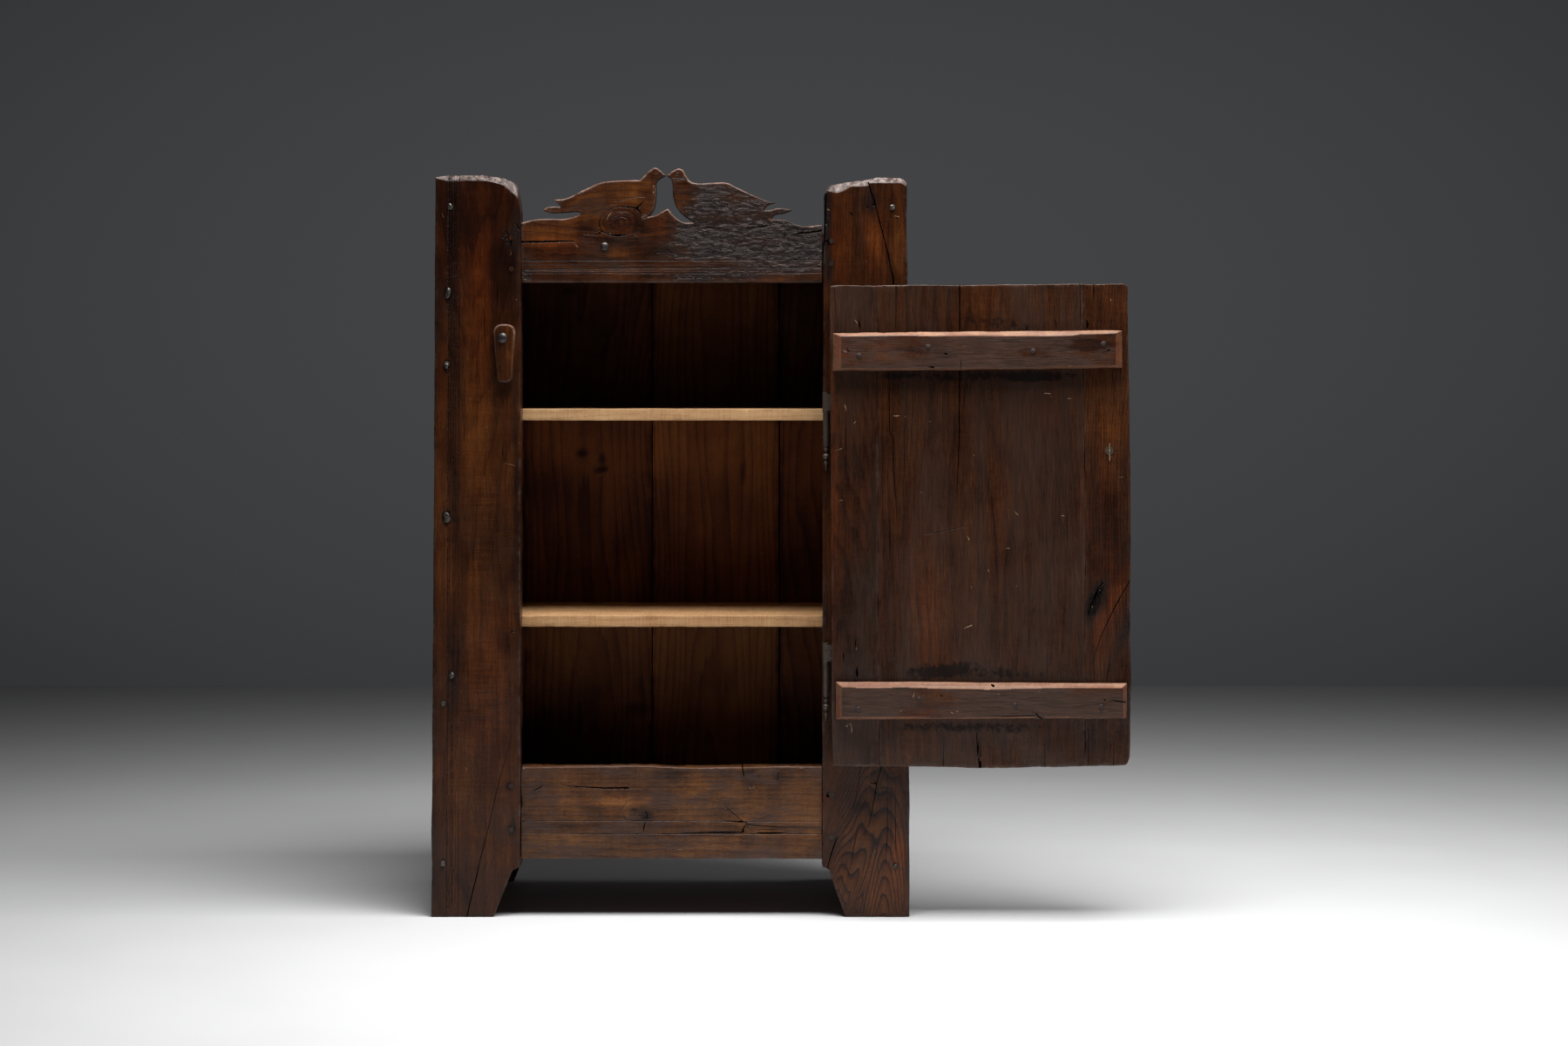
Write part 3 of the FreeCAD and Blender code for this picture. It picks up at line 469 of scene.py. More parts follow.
def oldWood(name, **changes):
    # changes are set over plainWood
    s = {**plainWood, **changes}
    material, w = newMaterial(name)
    place = w.node("ShaderNodeTexCoord", out="Object")
    if s["carried"]:
        # a CAD node has no fields of its own: straight grain by its place
        x, y, z = place.split()
        across, depth, along = (z, y, x) if s["carried"] == "x" else (x, y, z)
        ring = across * 160.0 + depth * 90.0
        wear = tone = red = stain = weather = w.noise(place, 1.0) * 0.0
        chattered = ringed = wear
        crackHalf = grooveHalf = scratchHalf = wear - 3.0
        crackSide = grooveSide = scratchSide = wear + 3.0
    else:
        across, depth, along = w.attribute("grainAt").split()
        ring = w.attribute("ringNumber", "Fac")
        weather = w.attribute("weathering", "Fac")
        wear, tone, red = w.attribute("handMarks").split()
        crackSide, crackHalf, stain = w.attribute("crackAt").split()
        grooveSide, grooveHalf, scratchSide = w.attribute("grooveAt").split()
        scratchHalf, chattered, ringed = w.attribute("scratchAt").split()

    dents = w.noise(place, s["dentScale"], 4.0, 0.55)
    across = across + (dents - 0.5) * s["waver"]

    def grained(fineness, length, detail, rough=0.6):
        # noise drawn out along the grain
        return w.noise(w.joined(across * fineness, depth * fineness, length), 1.0, detail, rough)

    broad = w.noise(place, s["broadScale"], 3.0, 0.55)
    blotch = w.noise(place, s["blotchScale"], 7.0, 0.7)
    fine = s["streakFineness"]
    streak = grained(fine, along * fine * s["streakStretch"], 4.0)
    fine = s["fibreFineness"]
    fibre = grained(fine, along * fine * s["fibreStretch"], 4.0, 0.65)
    pore = grained(s["poreFineness"], along * s["poreLength"], 2.0, 0.5)
    pores = pore.over(s["poreEdge"], s["poreEdge"] + 0.1)
    chatter = grained(s["chatterFineness"], along * s["chatterLength"], 2.0, 0.5) - 0.5
    patches = grained(s["patchScale"], along * s["patchScale"] * s["patchStretch"], 6.0, 0.68)

    # rings rise slowly to dark late wood and drop at once
    turn = (ring + (streak - 0.5) * s["ringJitter"]).part()
    late = turn ** s["ringSharp"] * (1.0 - turn.over(0.88, 1.0))

    level = (tone + s["middle"] + (broad - 0.5) * s["broad"] + (blotch - 0.5) * s["blotch"]
             + (streak - 0.5) * s["streak"] + (fibre - 0.5) * s["fibre"]
             + chatter * (chattered * 0.35 + s["chatter"])
             - late * (ringed * 0.5 + s["ringTone"]) - pores * s["poreTone"])
    colour = w.node("ShaderNodeValToRGB", {"stops": s["colours"]}, {"Fac": level})
    redness = (red + (streak - 0.5) * s["redStreak"] + (broad - 0.45) * s["redBroad"]).held()
    colour = w.tint(redness, colour, w.tint(1.0, colour, s["redTint"], "MULTIPLY"))
    dull = patches.over(s["dullEdge"], s["dullEdge"] + s["dullSpan"]) * s["dull"]
    dull = (dull * (1.0 - redness * 0.6)).held()
    colour = w.tint(dull, colour, w.tint(fibre.over(0.3, 0.7), s["dullDark"], s["dullLight"]))

    # weathered patches: furrows along the grain and checks across it
    furrow = grained(s["furrowFineness"], along * s["furrowLength"], 4.0)
    furrow = 1.0 - ((furrow - 0.5).size() * 9.0).held()
    fine = s["checkFineness"]
    cellAt = w.joined(across * fine + streak * 2.0, depth * fine,
                      along * s["checkLength"] + blotch * 3.0)
    cells = w.node("ShaderNodeTexVoronoi", {"feature": "DISTANCE_TO_EDGE"},
                   {"Vector": cellAt, "Scale": 1.0})
    checks = 1.0 - cells.over(0.02, 0.12)
    worse = weather * (0.25 + patches.over(0.4, 0.6) * 0.9)
    eaten = ((furrow * 0.75 + checks * 0.35) * worse).held()
    grime = (weather * (0.25 + blotch)).held()
    colour = w.tint(grime, colour, s["grimeColour"])
    chops = w.noise(place, s["chopScale"], 4.0, 0.65)
    # the lighter worn colour: wear on edges, and the painted highlights on rims, bevels and
    # chamfers that face up
    rubbed = (wear * (0.75 + (chops - 0.5) * s["chopped"] + (streak - 0.5) * s["rubStreak"])).held()
    darker = (blotch + (streak - 0.5) * 1.6).over(0.35, 0.7)
    colour = w.tint(rubbed, colour, w.tint(darker, s["rubbed"], s["rubbedDark"]))
    # dark marks in the wood, and the painted shadow under the door's battens
    ragged = stain * 1.5 + (blotch - 0.5) * 2.0 + (chops - 0.5) * 2.2 + (streak - 0.5) * 0.8
    stainAndShadowed = ragged.over(0.35, 1.0) * stain.over(0.04, 0.3) * 0.85
    colour = w.tint(stainAndShadowed, colour, s["stainColour"])
    wobble = w.noise(place, s["wobbleScale"], 3.0, 0.7) - 0.5
    gap = (crackHalf * (1.2 + wobble * 1.7) + 0.08 - crackSide.size()).over(-0.25, 0.25)
    bead = grained(s["beadFineness"], along * s["beadLength"], 3.0).over(0.42, 0.6)
    bead = 1.0 - s["beaded"] + bead * s["beaded"]
    groove = (grooveHalf * (1.0 + wobble * 1.2) - grooveSide.size()).over(-0.5, 0.7) * bead
    mark = (scratchHalf * (1.0 + wobble * 1.6) - scratchSide.size()).over(-0.2, 0.3)
    colour = w.tint(groove * s["grooveTone"], colour, s["stainColour"])
    colour = w.tint(eaten * 0.8, colour, s["stainColour"])
    colour = w.tint(mark, colour, s["scratchColour"])
    colour = w.tint(gap, colour, s["crackColour"])

    height = (fibre * s["fibreHeight"] - late * s["ringHeight"] - pores * s["poreHeight"]
              + dents * s["dentHeight"] + streak * s["streakHeight"]
              + chatter * (chattered * 0.0003 + s["chatterHeight"])
              - eaten * s["eatenHeight"] + rubbed * chops * s["chopHeight"]
              - gap * s["crackHeight"] - groove * s["grooveHeight"] - mark * s["scratchHeight"])
    rough = (s["rough"] + (blotch - 0.5) * s["roughVary"] + pores * 0.1 + rubbed * s["rubbedRough"]
             + gap * 0.3 + groove * 0.22 + worse * 0.1 + stainAndShadowed * 0.12 + dull * s["dullRough"]
             + (fibre - 0.5) * 0.12).held()
    # a metal with a black colour mirrors nothing, which keeps cracks and deep furrows dark
    dead = (gap + eaten * 0.5 + groove * s["grooveDead"] + stainAndShadowed * 0.4).held()
    finishMaterial(w, colour, rough, height, {**s["shader"], "Metallic": dead})
    return material


def wrought(name, **changes):
    # changes are set over plainIron
    s = {**plainIron, **changes}
    material, w = newMaterial(name)
    place = w.node("ShaderNodeTexCoord", out="Object")
    broad = w.noise(place, s["broadScale"], 3.0, 0.6)
    grit = w.noise(place, s["gritScale"], 4.0, 0.65)
    rust = (broad + (grit - 0.5) * 0.7).over(s["rustEdge"], s["rustEdge"] + 0.2)
    colour = w.tint(rust, w.tint(grit, s["dark"], s["bright"]), s["rust"])
    hammered = w.noise(place, 420.0, 1.0, 0.4)
    height = grit * 0.00025 + hammered * s["hammer"] - rust * 0.0001
    rough = (s["rough"] + rust * 0.35 + (grit - 0.5) * 0.3).held()
    metal = (s["metal"] - rust * s["metal"] * 0.9).held()
    finishMaterial(w, colour, rough, height, {"Metallic": metal})
    return material


plainWood = {
    "carried": "", "broadScale": 3.6, "blotchScale": 15.0, "dentScale": 34.0, "chopScale": 130.0,
    "wobbleScale": 260.0, "poreFineness": 1000.0, "poreLength": 130.0, "chatterFineness": 22.0,
    "chatterLength": 400.0, "furrowFineness": 250.0, "furrowLength": 42.0, "checkFineness": 150.0,
    "checkLength": 75.0, "beadFineness": 60.0, "beadLength": 210.0, "chopHeight": 0.0008,
    "scratchHeight": 0.0002, "streakFineness": 95.0, "streakStretch": 0.035, "fibreFineness": 640.0,
    "fibreStretch": 0.045, "poreEdge": 0.56, "ringJitter": 0.6, "ringSharp": 3.0, "middle": 0.52,
    "broad": 0.8, "blotch": 0.5, "streak": 0.5, "fibre": 0.24, "ringTone": 0.16, "poreTone": 0.12,
    "chatter": 0.16,
    "colours": [(0.0, (0.003, 0.0009, 0.0005)), (0.3, (0.0155, 0.0042, 0.0014)),
        (0.5, (0.044, 0.0124, 0.0031)), (0.72, (0.1, 0.032, 0.007)), (1.0, (0.2, 0.08, 0.019))],
    "redStreak": 0.5, "redBroad": 0.4, "redTint": (1.3, 0.82, 0.5), "dull": 0.5, "dullEdge": 0.5,
    "dullSpan": 0.16, "patchScale": 21.0, "patchStretch": 0.33, "waver": 0.006,
    "dullDark": (0.0135, 0.006, 0.0038), "dullLight": (0.043, 0.0215, 0.0145), "dullRough": 0.05,
    "chopped": 2.2, "rubStreak": 0.8, "grooveDead": 0.5, "rubbed": (0.24, 0.14, 0.1),
    "rubbedDark": (0.1, 0.05, 0.03), "stainColour": (0.0045, 0.0025, 0.002),
    "grimeColour": (0.014, 0.009, 0.0075), "crackColour": (0.0015, 0.0008, 0.0006),
    "scratchColour": (0.3, 0.2, 0.11), "grooveTone": 0.6, "beaded": 0.0, "fibreHeight": 0.00011,
    "ringHeight": 0.0001, "poreHeight": 0.00007, "dentHeight": 0.0006, "streakHeight": 0.00022,
    "chatterHeight": 0.00005, "eatenHeight": 0.0007, "crackHeight": 0.001, "grooveHeight": 0.00065,
    "rough": 0.27, "roughVary": 0.16, "rubbedRough": 0.3, "shader": {"Specular IOR Level": 0.26},
}


legWood = oldWood(
    "waxed_leg_wood", dull=0.28, beaded=0.6, chatter=0.08, streak=0.5, fibre=0.38, middle=0.51,
    broad=0.4, blotch=0.32, ringTone=0.14, ringSharp=4.0, dullLight=(0.044, 0.0212, 0.0125),
    shader={"Specular IOR Level": 0.21}, grooveTone=0.75, grooveHeight=0.0009,
    rubbed=(0.2, 0.155, 0.14), rubbedDark=(0.045, 0.028, 0.022), chopped=4.5)
crestWood = oldWood(
    "carved_crest_wood", dull=0.75, middle=0.525, grooveTone=0.85, streak=0.55, blotch=0.75,
    fibre=0.34, waver=0.012, rubbed=(0.36, 0.22, 0.17), grooveHeight=0.0004)
railWood = oldWood(
    "worn_rail_wood", dull=0.75, middle=0.63, dullEdge=0.48, dullSpan=0.12, patchScale=38.0,
    grooveTone=0.9, broad=0.3, blotch=0.8, ringTone=0.14, streak=0.4, fibre=0.4, waver=0.014,
    dullLight=(0.074, 0.0375, 0.027), dullDark=(0.028, 0.0142, 0.0105),
    colours=[(0.0, (0.004, 0.0013, 0.0007)), (0.3, (0.0165, 0.0056, 0.002)),
        (0.5, (0.047, 0.0162, 0.0048)), (0.72, (0.108, 0.0405, 0.0105)),
        (1.0, (0.21, 0.092, 0.027))])
doorWood = oldWood(
    "door_wood", dull=0.8, dullEdge=0.36, dullSpan=0.3, patchScale=11.0, middle=0.49, streak=0.4,
    fibre=0.46, broad=0.4, blotch=0.34, poreTone=0.16, ringTone=0.2, ringSharp=4.0, waver=0.003,
    patchStretch=0.17, dullLight=(0.05, 0.0255, 0.0165), dullDark=(0.026, 0.0125, 0.008),
    redTint=(1.25, 0.78, 0.55))
warmDoorWood = oldWood(
    "warm_door_wood", dull=0.3, dullEdge=0.42, middle=0.49, streak=0.5, fibre=0.5, broad=0.4,
    blotch=0.4, poreTone=0.2, ringTone=0.2, ringSharp=4.0, waver=0.003, redTint=(1.2, 0.82, 0.6))
battenWood = oldWood(
    "batten_wood", rubbed=(0.385, 0.205, 0.122), rubbedDark=(0.2, 0.085, 0.05), dull=0.85,
    dullEdge=0.36, dullLight=(0.074, 0.04, 0.0285), dullDark=(0.028, 0.0145, 0.0105), middle=0.53,
    streak=0.45, fibre=0.36, blotch=0.4, broad=0.35, poreTone=0.16, redBroad=0.12, chopped=0.8,
    rubStreak=2.4, streakHeight=0.0001, rough=0.36)
boardWood = oldWood(
    "inner_board_wood", rough=0.5, shader={"Specular IOR Level": 0.12}, dull=0.0, middle=0.5,
    streak=0.3, fibre=0.16, blotch=0.3, poreTone=0.06, ringTone=0.2, chatter=0.05,
    colours=[(0.0, (0.012, 0.002, 0.0008)), (0.3, (0.045, 0.011, 0.0032)),
        (0.5, (0.115, 0.034, 0.0085)), (0.75, (0.22, 0.082, 0.018)), (1.0, (0.36, 0.16, 0.04))])
sideWood = oldWood(
    "side_board_wood", rough=0.36, dull=0.6, middle=0.46, streak=0.4, fibre=0.25, broad=0.5,
    blotch=0.35, ringTone=0.2)
pegWood = oldWood(
    "peg_wood", carried="z", middle=0.4, dull=0.9, broad=0.2, redStreak=0.0, redBroad=0.0,
    dullEdge=0.3, dullDark=(0.014, 0.009, 0.007), dullLight=(0.034, 0.023, 0.018))
carriedBoard = oldWood("carried_board_wood", carried="x")
shelfPine = oldWood(
    "raw_pine",
    colours=[(0.0, (0.17, 0.07, 0.025)), (0.35, (0.33, 0.165, 0.07)), (0.62, (0.47, 0.27, 0.125)),
        (1.0, (0.62, 0.4, 0.21))],
    rubbed=(0.66, 0.46, 0.28), rubbedDark=(0.45, 0.26, 0.13), rough=0.6, redTint=(1.0, 0.85, 0.7),
    dull=0.0, stainColour=(0.08, 0.04, 0.02), crackColour=(0.03, 0.015, 0.008), middle=0.6,
    poreTone=0.15, broad=0.5, blotch=0.4, streak=0.5, fibre=0.5, chatter=0.42,
    chatterHeight=0.00025, dullEdge=0.5)

plainIron = {
    "broadScale": 90.0, "gritScale": 800.0, "rustEdge": 0.5, "dark": (0.018, 0.0115, 0.008),
    "bright": (0.14, 0.105, 0.082), "rust": (0.03, 0.016, 0.01), "hammer": 0.0004, "rough": 0.36,
    "metal": 0.45,
}
hingeIron = wrought("hinge_iron")
rustyIron = wrought(
    "rusty_iron", broadScale=120.0, gritScale=700.0, rustEdge=0.35, dark=(0.014, 0.01, 0.009),
    bright=(0.05, 0.04, 0.036), rust=(0.03, 0.014, 0.01), hammer=0.001, rough=0.5, metal=0.6)
oldIron = wrought(
    "old_iron", broadScale=60.0, gritScale=900.0, rustEdge=0.55, dark=(0.02, 0.017, 0.016),
    bright=(0.09, 0.08, 0.075), rust=(0.045, 0.018, 0.008), hammer=0.0006, metal=0.85)
hammeredIron = wrought(
    "hammered_iron", broadScale=150.0, gritScale=900.0, rustEdge=0.55, dark=(0.03, 0.025, 0.022),
    bright=(0.13, 0.115, 0.1), rust=(0.03, 0.018, 0.013), hammer=0.0008, rough=0.3, metal=0.75)
paleIron = wrought(
    "pale_iron", dark=(0.11, 0.065, 0.035), bright=(0.26, 0.165, 0.09), rust=(0.07, 0.04, 0.02),
    rough=0.6, metal=0.0)
print("materials made")


def outlined(px, py, radius, half):
    # the dark outline round a peg: a ring of eight sides in the photograph's points
    turns = [k * math.pi / 4 for k in range(9)]
    return [(px + radius * math.cos(turn), py + radius * math.sin(turn), half) for turn in turns]


# Front legs: the outer edge leans out, the foot is stepped and cut, the top is hewn with a bevel

leftLeg = {
    "step": (0.003, 0.0065, 0.003), "low": {0: -0.406}, "high": {0: -0.258, 2: 1.2795},
    "edge": 0.0025, "heart": (-0.345, 0.05), "taper": -0.03, "ring": 0.0075, "seed": 11,
    "hew": 0.0009, "chip": 0.0009, "bareFrom": seen(499, 0)[0], "bareTo": seen(592.5, 0)[0],
    "bevelDepth": 0.012, "topZone": 1.18, "fine": ((2, 1.238, 1.277, 0.0014),),
    **placed(legFace,
        leftEdge=[(499.6, 200), (498.6, 400), (496.6, 760), (494.8, 1050)],
        rightEdge=[(598.4, 232), (598.2, 420), (597.8, 700), (597.6, 994), (597.4, 995.6),
            (588.8, 998.0), (567.0, 1052)],
        topLine=[(499.6, 202.5), (513.5, 200.4), (531, 200.7), (553.9, 200), (578, 204.5),
            (589.7, 209), (592.8, 214), (595.5, 222), (598.4, 246)],
        bevelLine=[(499.6, 203.6), (515.7, 208.1), (525, 207.7), (538.4, 206.9), (553.9, 207.3),
            (563, 208.5), (578, 212.4), (584, 218), (592, 225), (595.5, 228), (598.4, 248)],
        weathered=[(594, 262, 6, 26, .8), (586, 273, 8, 14, .5), (595, 320, 4, 30, .5),
            (590, 470, 5, 60, .25), (516, 206, 6, 4, .8)],
        cracks=[[(594.5, 818, -.2), (588, 844, .1), (582, 865, .15), (570.4, 907, .25),
            (561.2, 948, .25), (550, 992, .5), (547, 1006, .7), (540, 1034, .6), (536, 1053, .8)],
            outlined(586, 273.2, 3.3, .5), outlined(586, 309, 3.2, .25),
            outlined(585.3, 902, 3.3, .2), outlined(587.6, 951.4, 3.3, .2), [(579.5, 262, -.2),
            (582, 267, .9), (584, 270, .6)], [(586, 277, 1.2), (587, 280, .8), (586, 284, -.1)],
            [(591, 256, .2), (594.5, 260, 1.4), (597, 264, .6)], [(574, 270, -.2), (577, 273, .6),
            (579, 274, -.2)], [(571.5, 318, -.2), (570.8, 338, .5), (571.3, 352, -.2)],
            [(557, 336, -.2), (556, 372, .3), (557, 405, -.2)], [(577.5, 505, -.2),
            (577.3, 520, .5), (577, 528, -.2)], [(585, 728, -.2), (588, 724, .7), (594, 725.5, .4)],
            [(566, 590, -.2), (565.5, 640, .25), (566, 676, -.2)]],
        grooves=[[(515.5, 200, .9), (514.6, 260, 1.6), (514.6, 400, 1.4), (513.6, 700, 1.0),
            (512.8, 1056, .8)], [(521.5, 200, .5), (521.2, 300, 1.2), (520.6, 400, 1.0),
            (519.5, 700, 1.0), (518.8, 1056, .9)], [(527, 200, .9), (526.6, 300, 1.0),
            (526.3, 400, 1.2), (526, 700, .7), (525.6, 1056, .5)]],
        scratches=[[(577, 531, -.1), (585, 532.5, .25), (592.5, 535, .1)],
            [(545, 497, 0), (546, 495, .3)], [(556, 490.6, 0), (561, 490.2, .35)],
            [(507, 243, 0), (509.5, 250, .3)], [(586, 286, 0), (587, 291, .25), (585, 294, 0)],
            [(592, 343, 0), (593.5, 344, .6)], [(535, 880, 0), (536, 883, .5)],
            [(595.5, 508, .3), (597, 509, .6)]],
        tones=[(548, 235, 60, 60, -.16), (548, 300, 60, 110, -.08), (590, 400, 12, 300, -.05),
            (552, 330, 14, 95, .1, 0), (550, 470, 16, 60, .08), (507, 620, 7, 300, .02),
            (506, 330, 6, 100, -.06), (577, 315, 17, 40, -.2), (584, 290, 12, 22, -.14),
            (590, 470, 9, 120, .05), (520, 420, 9, 230, -.16), (540, 240, 30, 30, -.05),
            (519, 760, 8, 60, -.18), (560, 760, 34, 70, .07), (545, 930, 36, 90, .05),
            (593, 560, 5, 40, -.15), (582, 735, 14, 20, -.1), (585, 902, 6, 7, -.25),
            (587.6, 951, 6, 8, -.25), (540, 640, 26, 90, .02), (590, 655, 8, 30, -.12),
            (517, 300, 6, 60, -.12), (504, 345, 7, 50, -.16), (504, 425, 7, 50, -.09),
            (552, 228, 26, 20, .12), (547, 430, 14, 40, -.07)],
        stains=[(513.3, 594, 6, 9, .9), (514.5, 337, 6, 9, .8), (512.6, 420, 5, 10, .8),
            (518.9, 775, 4, 8, .7), (508.8, 807, 5, 6, .7), (508.8, 991, 4, 8, .7),
            (517, 237, 4, 6, .4), (524, 570, 4, 90, .3)],
        chattered=[(562, 610, 32, 60, .9), (560, 785, 34, 60, .6), (556, 480, 34, 60, .3),
            (545, 890, 34, 60, .35)],
        reds=[(550, 250, 50, 90, .35), (552, 350, 16, 110, .5), (560, 780, 30, 90, .3),
            (508, 400, 8, 160, .1)]),
}
rightLeg = {
    "step": (0.003, 0.0065, 0.003), "low": {0: 0.261}, "high": {0: 0.406, 2: 1.2795},
    "edge": 0.0025, "heart": (0.3846, -0.152), "taper": 0.02, "footTaper": 0.085, "lean": 0.32,
    "leanFrom": 0.34, "leanHold": 0.8, "ring": 0.0036, "seed": 23, "ringWave": 0.5, "hew": 0.0009,
    "wander": 0.002, "chip": 0.0009, "bareFrom": seen(948, 0)[0], "bareTo": seen(1042, 0)[0],
    "bevelDepth": 0.011, "topZone": 1.18, "fine": ((2, 1.236, 1.275, 0.0014),),
    **placed(legFace,
        ringed=[(1000, 970, 60, 120, 1.0)],
        leftEdge=[(970.0, 1052), (951.0, 997.2), (944.0, 995), (943.6, 992), (943.8, 700),
            (945.0, 330), (945.6, 232)],
        rightEdge=[(1041.2, 205), (1041.6, 330), (1043.0, 700), (1044.3, 880), (1044.3, 1052)],
        topLine=[(944, 250), (945.5, 224), (948, 218), (950.3, 214.5), (954, 211.8), (981, 207.2),
            (996, 205.5), (1007.7, 202.8), (1023, 203.4), (1034, 204.2), (1038.3, 205.5),
            (1041.5, 210)],
        bevelLine=[(944, 252), (946.5, 228), (950, 217), (953.5, 219.8), (959, 221.6), (964, 221),
            (972, 217.5), (976, 214), (996, 213.8), (998.5, 209.8), (1015, 210.2), (1034.5, 209.9),
            (1039, 212.6), (1041.5, 214)],
        weathered=[(948, 262, 5, 44, 1.0), (951, 310, 6, 20, .7), (1000, 232, 6, 14, .4),
            (985, 922, 9, 12, .3, -40)],
        cracks=[[(996.8, 209, .8), (1000, 221, 1.0), (1003.7, 230.5, 1.2), (1006, 240, .5),
            (1010, 256, .9), (1015, 274, .7), (1019.5, 292, .8), (1022, 305, .5),
            (1024.7, 317, 1.1), (1026, 328, 1.3)], [(976, 243.5, 1.0), (978, 247, 1.1)],
            [(995, 237, .8), (996.5, 239, .9)], [(1001.5, 234, .6), (1003, 237, .8)],
            [(950, 275.5, 1.9), (952, 279.5, 2.0)], outlined(951.5, 912, 3.2, .2),
            [(948, 222, 1.4), (947.4, 246, 1.1), (947, 262, .8), (946.6, 284, .5)],
            [(1012, 878, .7), (1008, 893, .4), (1004.7, 910, .55), (1000.5, 933, .45),
            (997.5, 946, .2), (995.6, 954, -.2)], [(988, 878, .25), (984.7, 904, .2),
            (979.8, 928, .1), (976, 940, -.2)], [(984.5, 945, -.2), (983.5, 954, .15),
            (977.4, 989, .25), (970.2, 1017, -.1)], [(962.5, 958, -.2), (960.5, 962, .5),
            (956.8, 972, .9), (950.6, 992, .6), (950, 997, .4)], [(998.5, 897, .1), (1002, 899, .5),
            (1008, 899.5, .4)], [(1028.4, 886, -.2), (1028, 960, .35), (1028.4, 985, -.2)],
            [(1019, 880, -.2), (1018.6, 960, .3), (1015, 1020, -.2)], [(948.5, 912.5, .6),
            (951.5, 912.2, .8)]],
        scratches=[[(1025, 247.5, .1), (1032, 248.5, .5)], [(993, 299.5, .1), (995, 299.5, .5)],
            [(949.5, 240, .3), (952, 241, .9)], [(948, 257, .3), (949, 259, .6)]],
        tones=[(990, 260, 60, 70, -.06), (1003, 272, 12, 30, .2, 20), (1031, 280, 9, 60, .14),
            (980, 285, 30, 40, .04), (985, 260, 10, 40, -.08), (948, 245, 5, 40, -.3),
            (1000, 232, 9, 12, -.15), (1021, 300, 4, 30, -.15, 20), (1030, 985, 10, 70, .12),
            (1021, 930, 6, 60, -.08), (986, 925, 7, 9, -.12, -40), (995, 965, 16, 40, .06, -15),
            (960, 925, 12, 60, .03, -25), (1000, 1020, 22, 30, .03), (953, 961, 4, 5, -.15),
            (978, 988, 12, 10, -.05)],
        reds=[(1003, 275, 16, 40, .5), (960, 290, 16, 50, .4), (1030, 970, 12, 60, .3)],
        stains=[(985.5, 924, 5, 6, .35, -50), (1028, 993.6, 4, 5, .8)]),
}


legBack = -0.16
notchDepth = 0.0036
notchPatch = (0.009, 0.05, 0.012)
topWearAndHighlight = {"all": 1.3, "dark": 0.12, "bare": 0.88, "cutOver": (0.02, 0.25), "softInside": 0.002,
           "softOutside": 0.003}


def hewnTop(s):
    # widths and heights slide from the straight block to the outline; the front face leans back
    # over the bevel, by bevelDepth at the top, and is notched there
    def bend(points, nominal, extra):
        x, y, z = points.T
        low, high = s["low"][0], s["high"][0]
        left, right = through(z, s["leftEdge"]), through(z, s["rightEdge"])
        x = left + (x - low) / (high - low) * (right - left)
        top, bevel = through(x, s["topLine"]), through(x, s["bevelLine"])
        share = np.clip((z - s["topZone"]) / (s["high"][2] - s["topZone"]), 0, 1)
        z = z + (top - s["high"][2]) * share
        onBevel = np.clip((z - bevel) / np.maximum(top - bevel, 0.0005), 0, 1)
        ragged = np.clip(crumble(points, notchPatch, s["seed"] + 3) + 0.2, 0, 1)
        notches = notchDepth * ragged * onBevel
        sunk = (s["bevelDepth"] * onBevel + notches) / (legBack - legFace)
        y = legBack - (legBack - y) * (1 - sunk)
        cut = ease(onBevel, *topWearAndHighlight["cutOver"])
        inside, outside = topWearAndHighlight["softInside"], topWearAndHighlight["softOutside"]
        bare = (ease(x, s["bareFrom"] - outside, s["bareFrom"] + inside)
                * (1 - ease(x, s["bareTo"] - inside, s["bareTo"] + outside)))
        # the bevel takes the lighter worn colour: bare cut wood, and partly a painted highlight on
        # a face that looks up
        extra["wear"] = topWearAndHighlight["all"] * cut * (topWearAndHighlight["dark"] + topWearAndHighlight["bare"] * bare)
        return np.stack([x, y, z], 1)
    return bend


board("leg_front_left", leftLeg, slot="leg_wood", material=legWood, bend=hewnTop(leftLeg))
board("leg_front_right", rightLeg, slot="leg_wood", material=legWood, bend=hewnTop(rightLeg))


# Back legs: plain boards with the same foot

backLegs = {
    "left": {"low": {0: -0.406}, "high": {0: -0.256}, "seed": 31, "heart": (-0.33, 0.3)},
    "right": {"low": {0: 0.256}, "high": {0: 0.406}, "seed": 37, "heart": (0.34, 0.32)},
}
backLegShape = {"outer": 0.406, "leansOut": 0.0065, "height": 1.1953,
                "inner": [(0, 0.302), (0.081, 0.269), (0.083, 0.256), (1.2, 0.256)]}


def backFoot(s, sign):
    # the outer edge leans out towards the floor; the inner edge steps in and slants at the foot
    def bend(points, nominal, extra):
        x, y, z = points.T
        low, high = s["low"][0], s["high"][0]
        across = (x - low) / (high - low)
        shape = backLegShape
        outer = sign * (shape["outer"] + shape["leansOut"] * (1 - z / shape["height"]))
        inner = sign * through(z, shape["inner"])
        left, right = (outer, inner) if sign < 0 else (inner, outer)
        return np.stack([left + across * (right - left), y, z], 1)
    return bend


for sideName, sign in (("left", -1), ("right", 1)):
    settings = backLegs[sideName]
    board("leg_back_" + sideName, settings, slot="leg_wood", material=legWood,
          bend=backFoot(settings, sign))
print("legs made")


# Top rail with the doves: an outline in smooth runs, filled with points, rounded by the distance
# to it; runs are shares of the rail's width and height, and each starts where the last one ends

